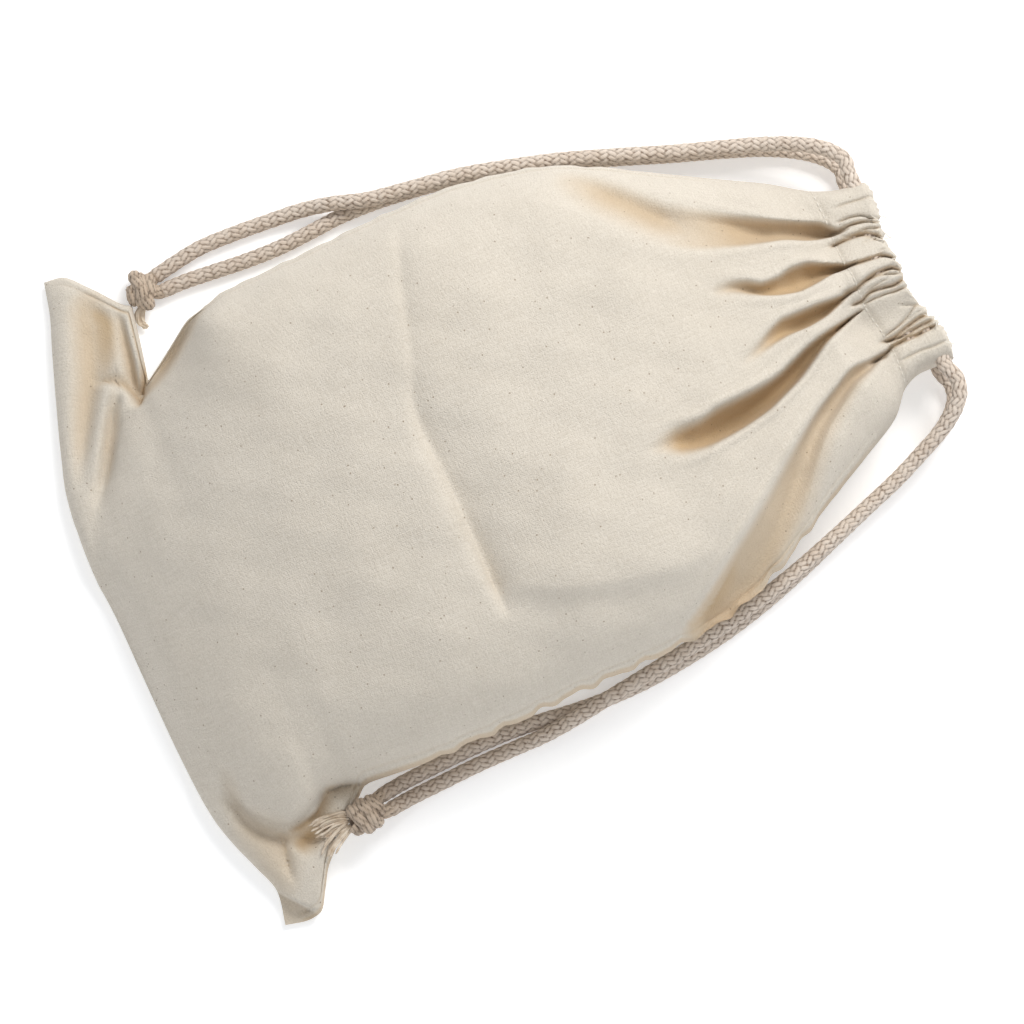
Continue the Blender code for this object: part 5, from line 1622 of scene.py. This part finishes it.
def cord_material(name, light, dark, gap_shade_colour):
    """Braided cotton: thin yarns along each strand, slow changes of tone, and shade painted dark into the
    gaps between strands.
    """
    material, tree, shader, place, flat = new_material(name, roughness=0.95, sheen=0.2)
    parts = add_node(tree, "ShaderNodeSeparateXYZ", {0: flat}).outputs
    slanted = weighted(tree, 0.0, (parts[0], 22.0), (parts[1], 7.0))
    yarns = remap(tree, maths(tree, "SINE", slanted), -1, 1)
    tone = use_group(tree, tone_group, Place=place, Scale=160.0)
    fuzz = use_group(tree, fuzz_group, Place=place, Scale=420.0)
    colour = mix(tree, weighted(tree, 0.0, (yarns, 0.4), (tone, 0.6)), light, dark)
    colour = mix(tree, attribute(tree, "handled"), colour, YARN_WORN)
    # painted shade: the deeper in a gap of the braid, the darker
    gap = weighted(tree, -0.2, (attribute(tree, "gap"), 1.0), (fuzz, 0.4))
    colour = mix(tree, remap(tree, gap, 0.30, 0.92), colour, gap_shade_colour)
    tree.links.new(speckled(tree, place, colour, amount=0.6), shader.inputs["Base Color"])
    add_bump(tree, shader, maths(tree, "ADD", yarns, tone), distance=0.00012, strength=0.7)
    return material


cord_cotton = cord_material("braided cotton", YARN_LIGHT, YARN_DARK, YARN_GAP_SHADE)
knot_cotton = cord_material("braided cotton, handled", YARN_HANDLED, YARN_WORN, YARN_WORN_GAP_SHADE)

# %% Loose yarn and sewing thread
FRAY_LIGHT = (0.840, 0.740, 0.610)
FRAY_DARK = (0.520, 0.400, 0.280)
THREAD_LIGHT = (0.860, 0.820, 0.740)
THREAD_DARK = (0.760, 0.700, 0.610)


def yarn_material(name, light, dark, scale):
    """Plain yarn with a slow change of tone."""
    material, tree, shader, place, _ = new_material(name, roughness=0.95, sheen=0.2)
    tone = use_group(tree, tone_group, Place=place, Scale=scale)
    tree.links.new(mix(tree, tone, light, dark), shader.inputs["Base Color"])
    add_bump(tree, shader, tone, distance=0.0001, strength=0.6)
    return material


loose_yarn = yarn_material("loose yarn", FRAY_LIGHT, FRAY_DARK, scale=240.0)
sewing_thread = yarn_material("sewing thread", THREAD_LIGHT, THREAD_DARK, scale=500.0)
worn = ((cotton, [bag]), (cord_cotton, braids.values()), (knot_cotton, knots.values()),
        (loose_yarn, frays.values()), (sewing_thread, [stitches, wisps]))
for material, pieces in worn:
    for piece in pieces:
        piece.data.materials.clear()
        piece.data.materials.append(material)
print("materials:", [material.name for material in bpy.data.materials])

# %% [markdown]
# ## Pieces and their body
# Last, the plain solids of the imported model are hidden. The cloth replaces the solid of the bag; it was cut
# as two panels as wide as the bag laid flat, in one length from hem to hem. Each cord, knot and frayed end
# replaces its own solid. Nothing here moves by itself, so every piece rides on the one body.

# %% Pieces and their bodies
for side in ("left", "right"):
    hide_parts("cord_" + side)
    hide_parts("knot_" + side)
    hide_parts("tail_" + side)
    for piece in (braids[side], knots[side], frays[side]):
        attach(piece, "root")
    path = to_frame(paths[side])
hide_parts("bag_cloth")
for piece in (bag, stitches, wisps):
    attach(piece, "root")
pieces = (bag, stitches, wisps, *braids.values(), *knots.values(), *frays.values())
print("pieces:", [piece.name for piece in pieces])
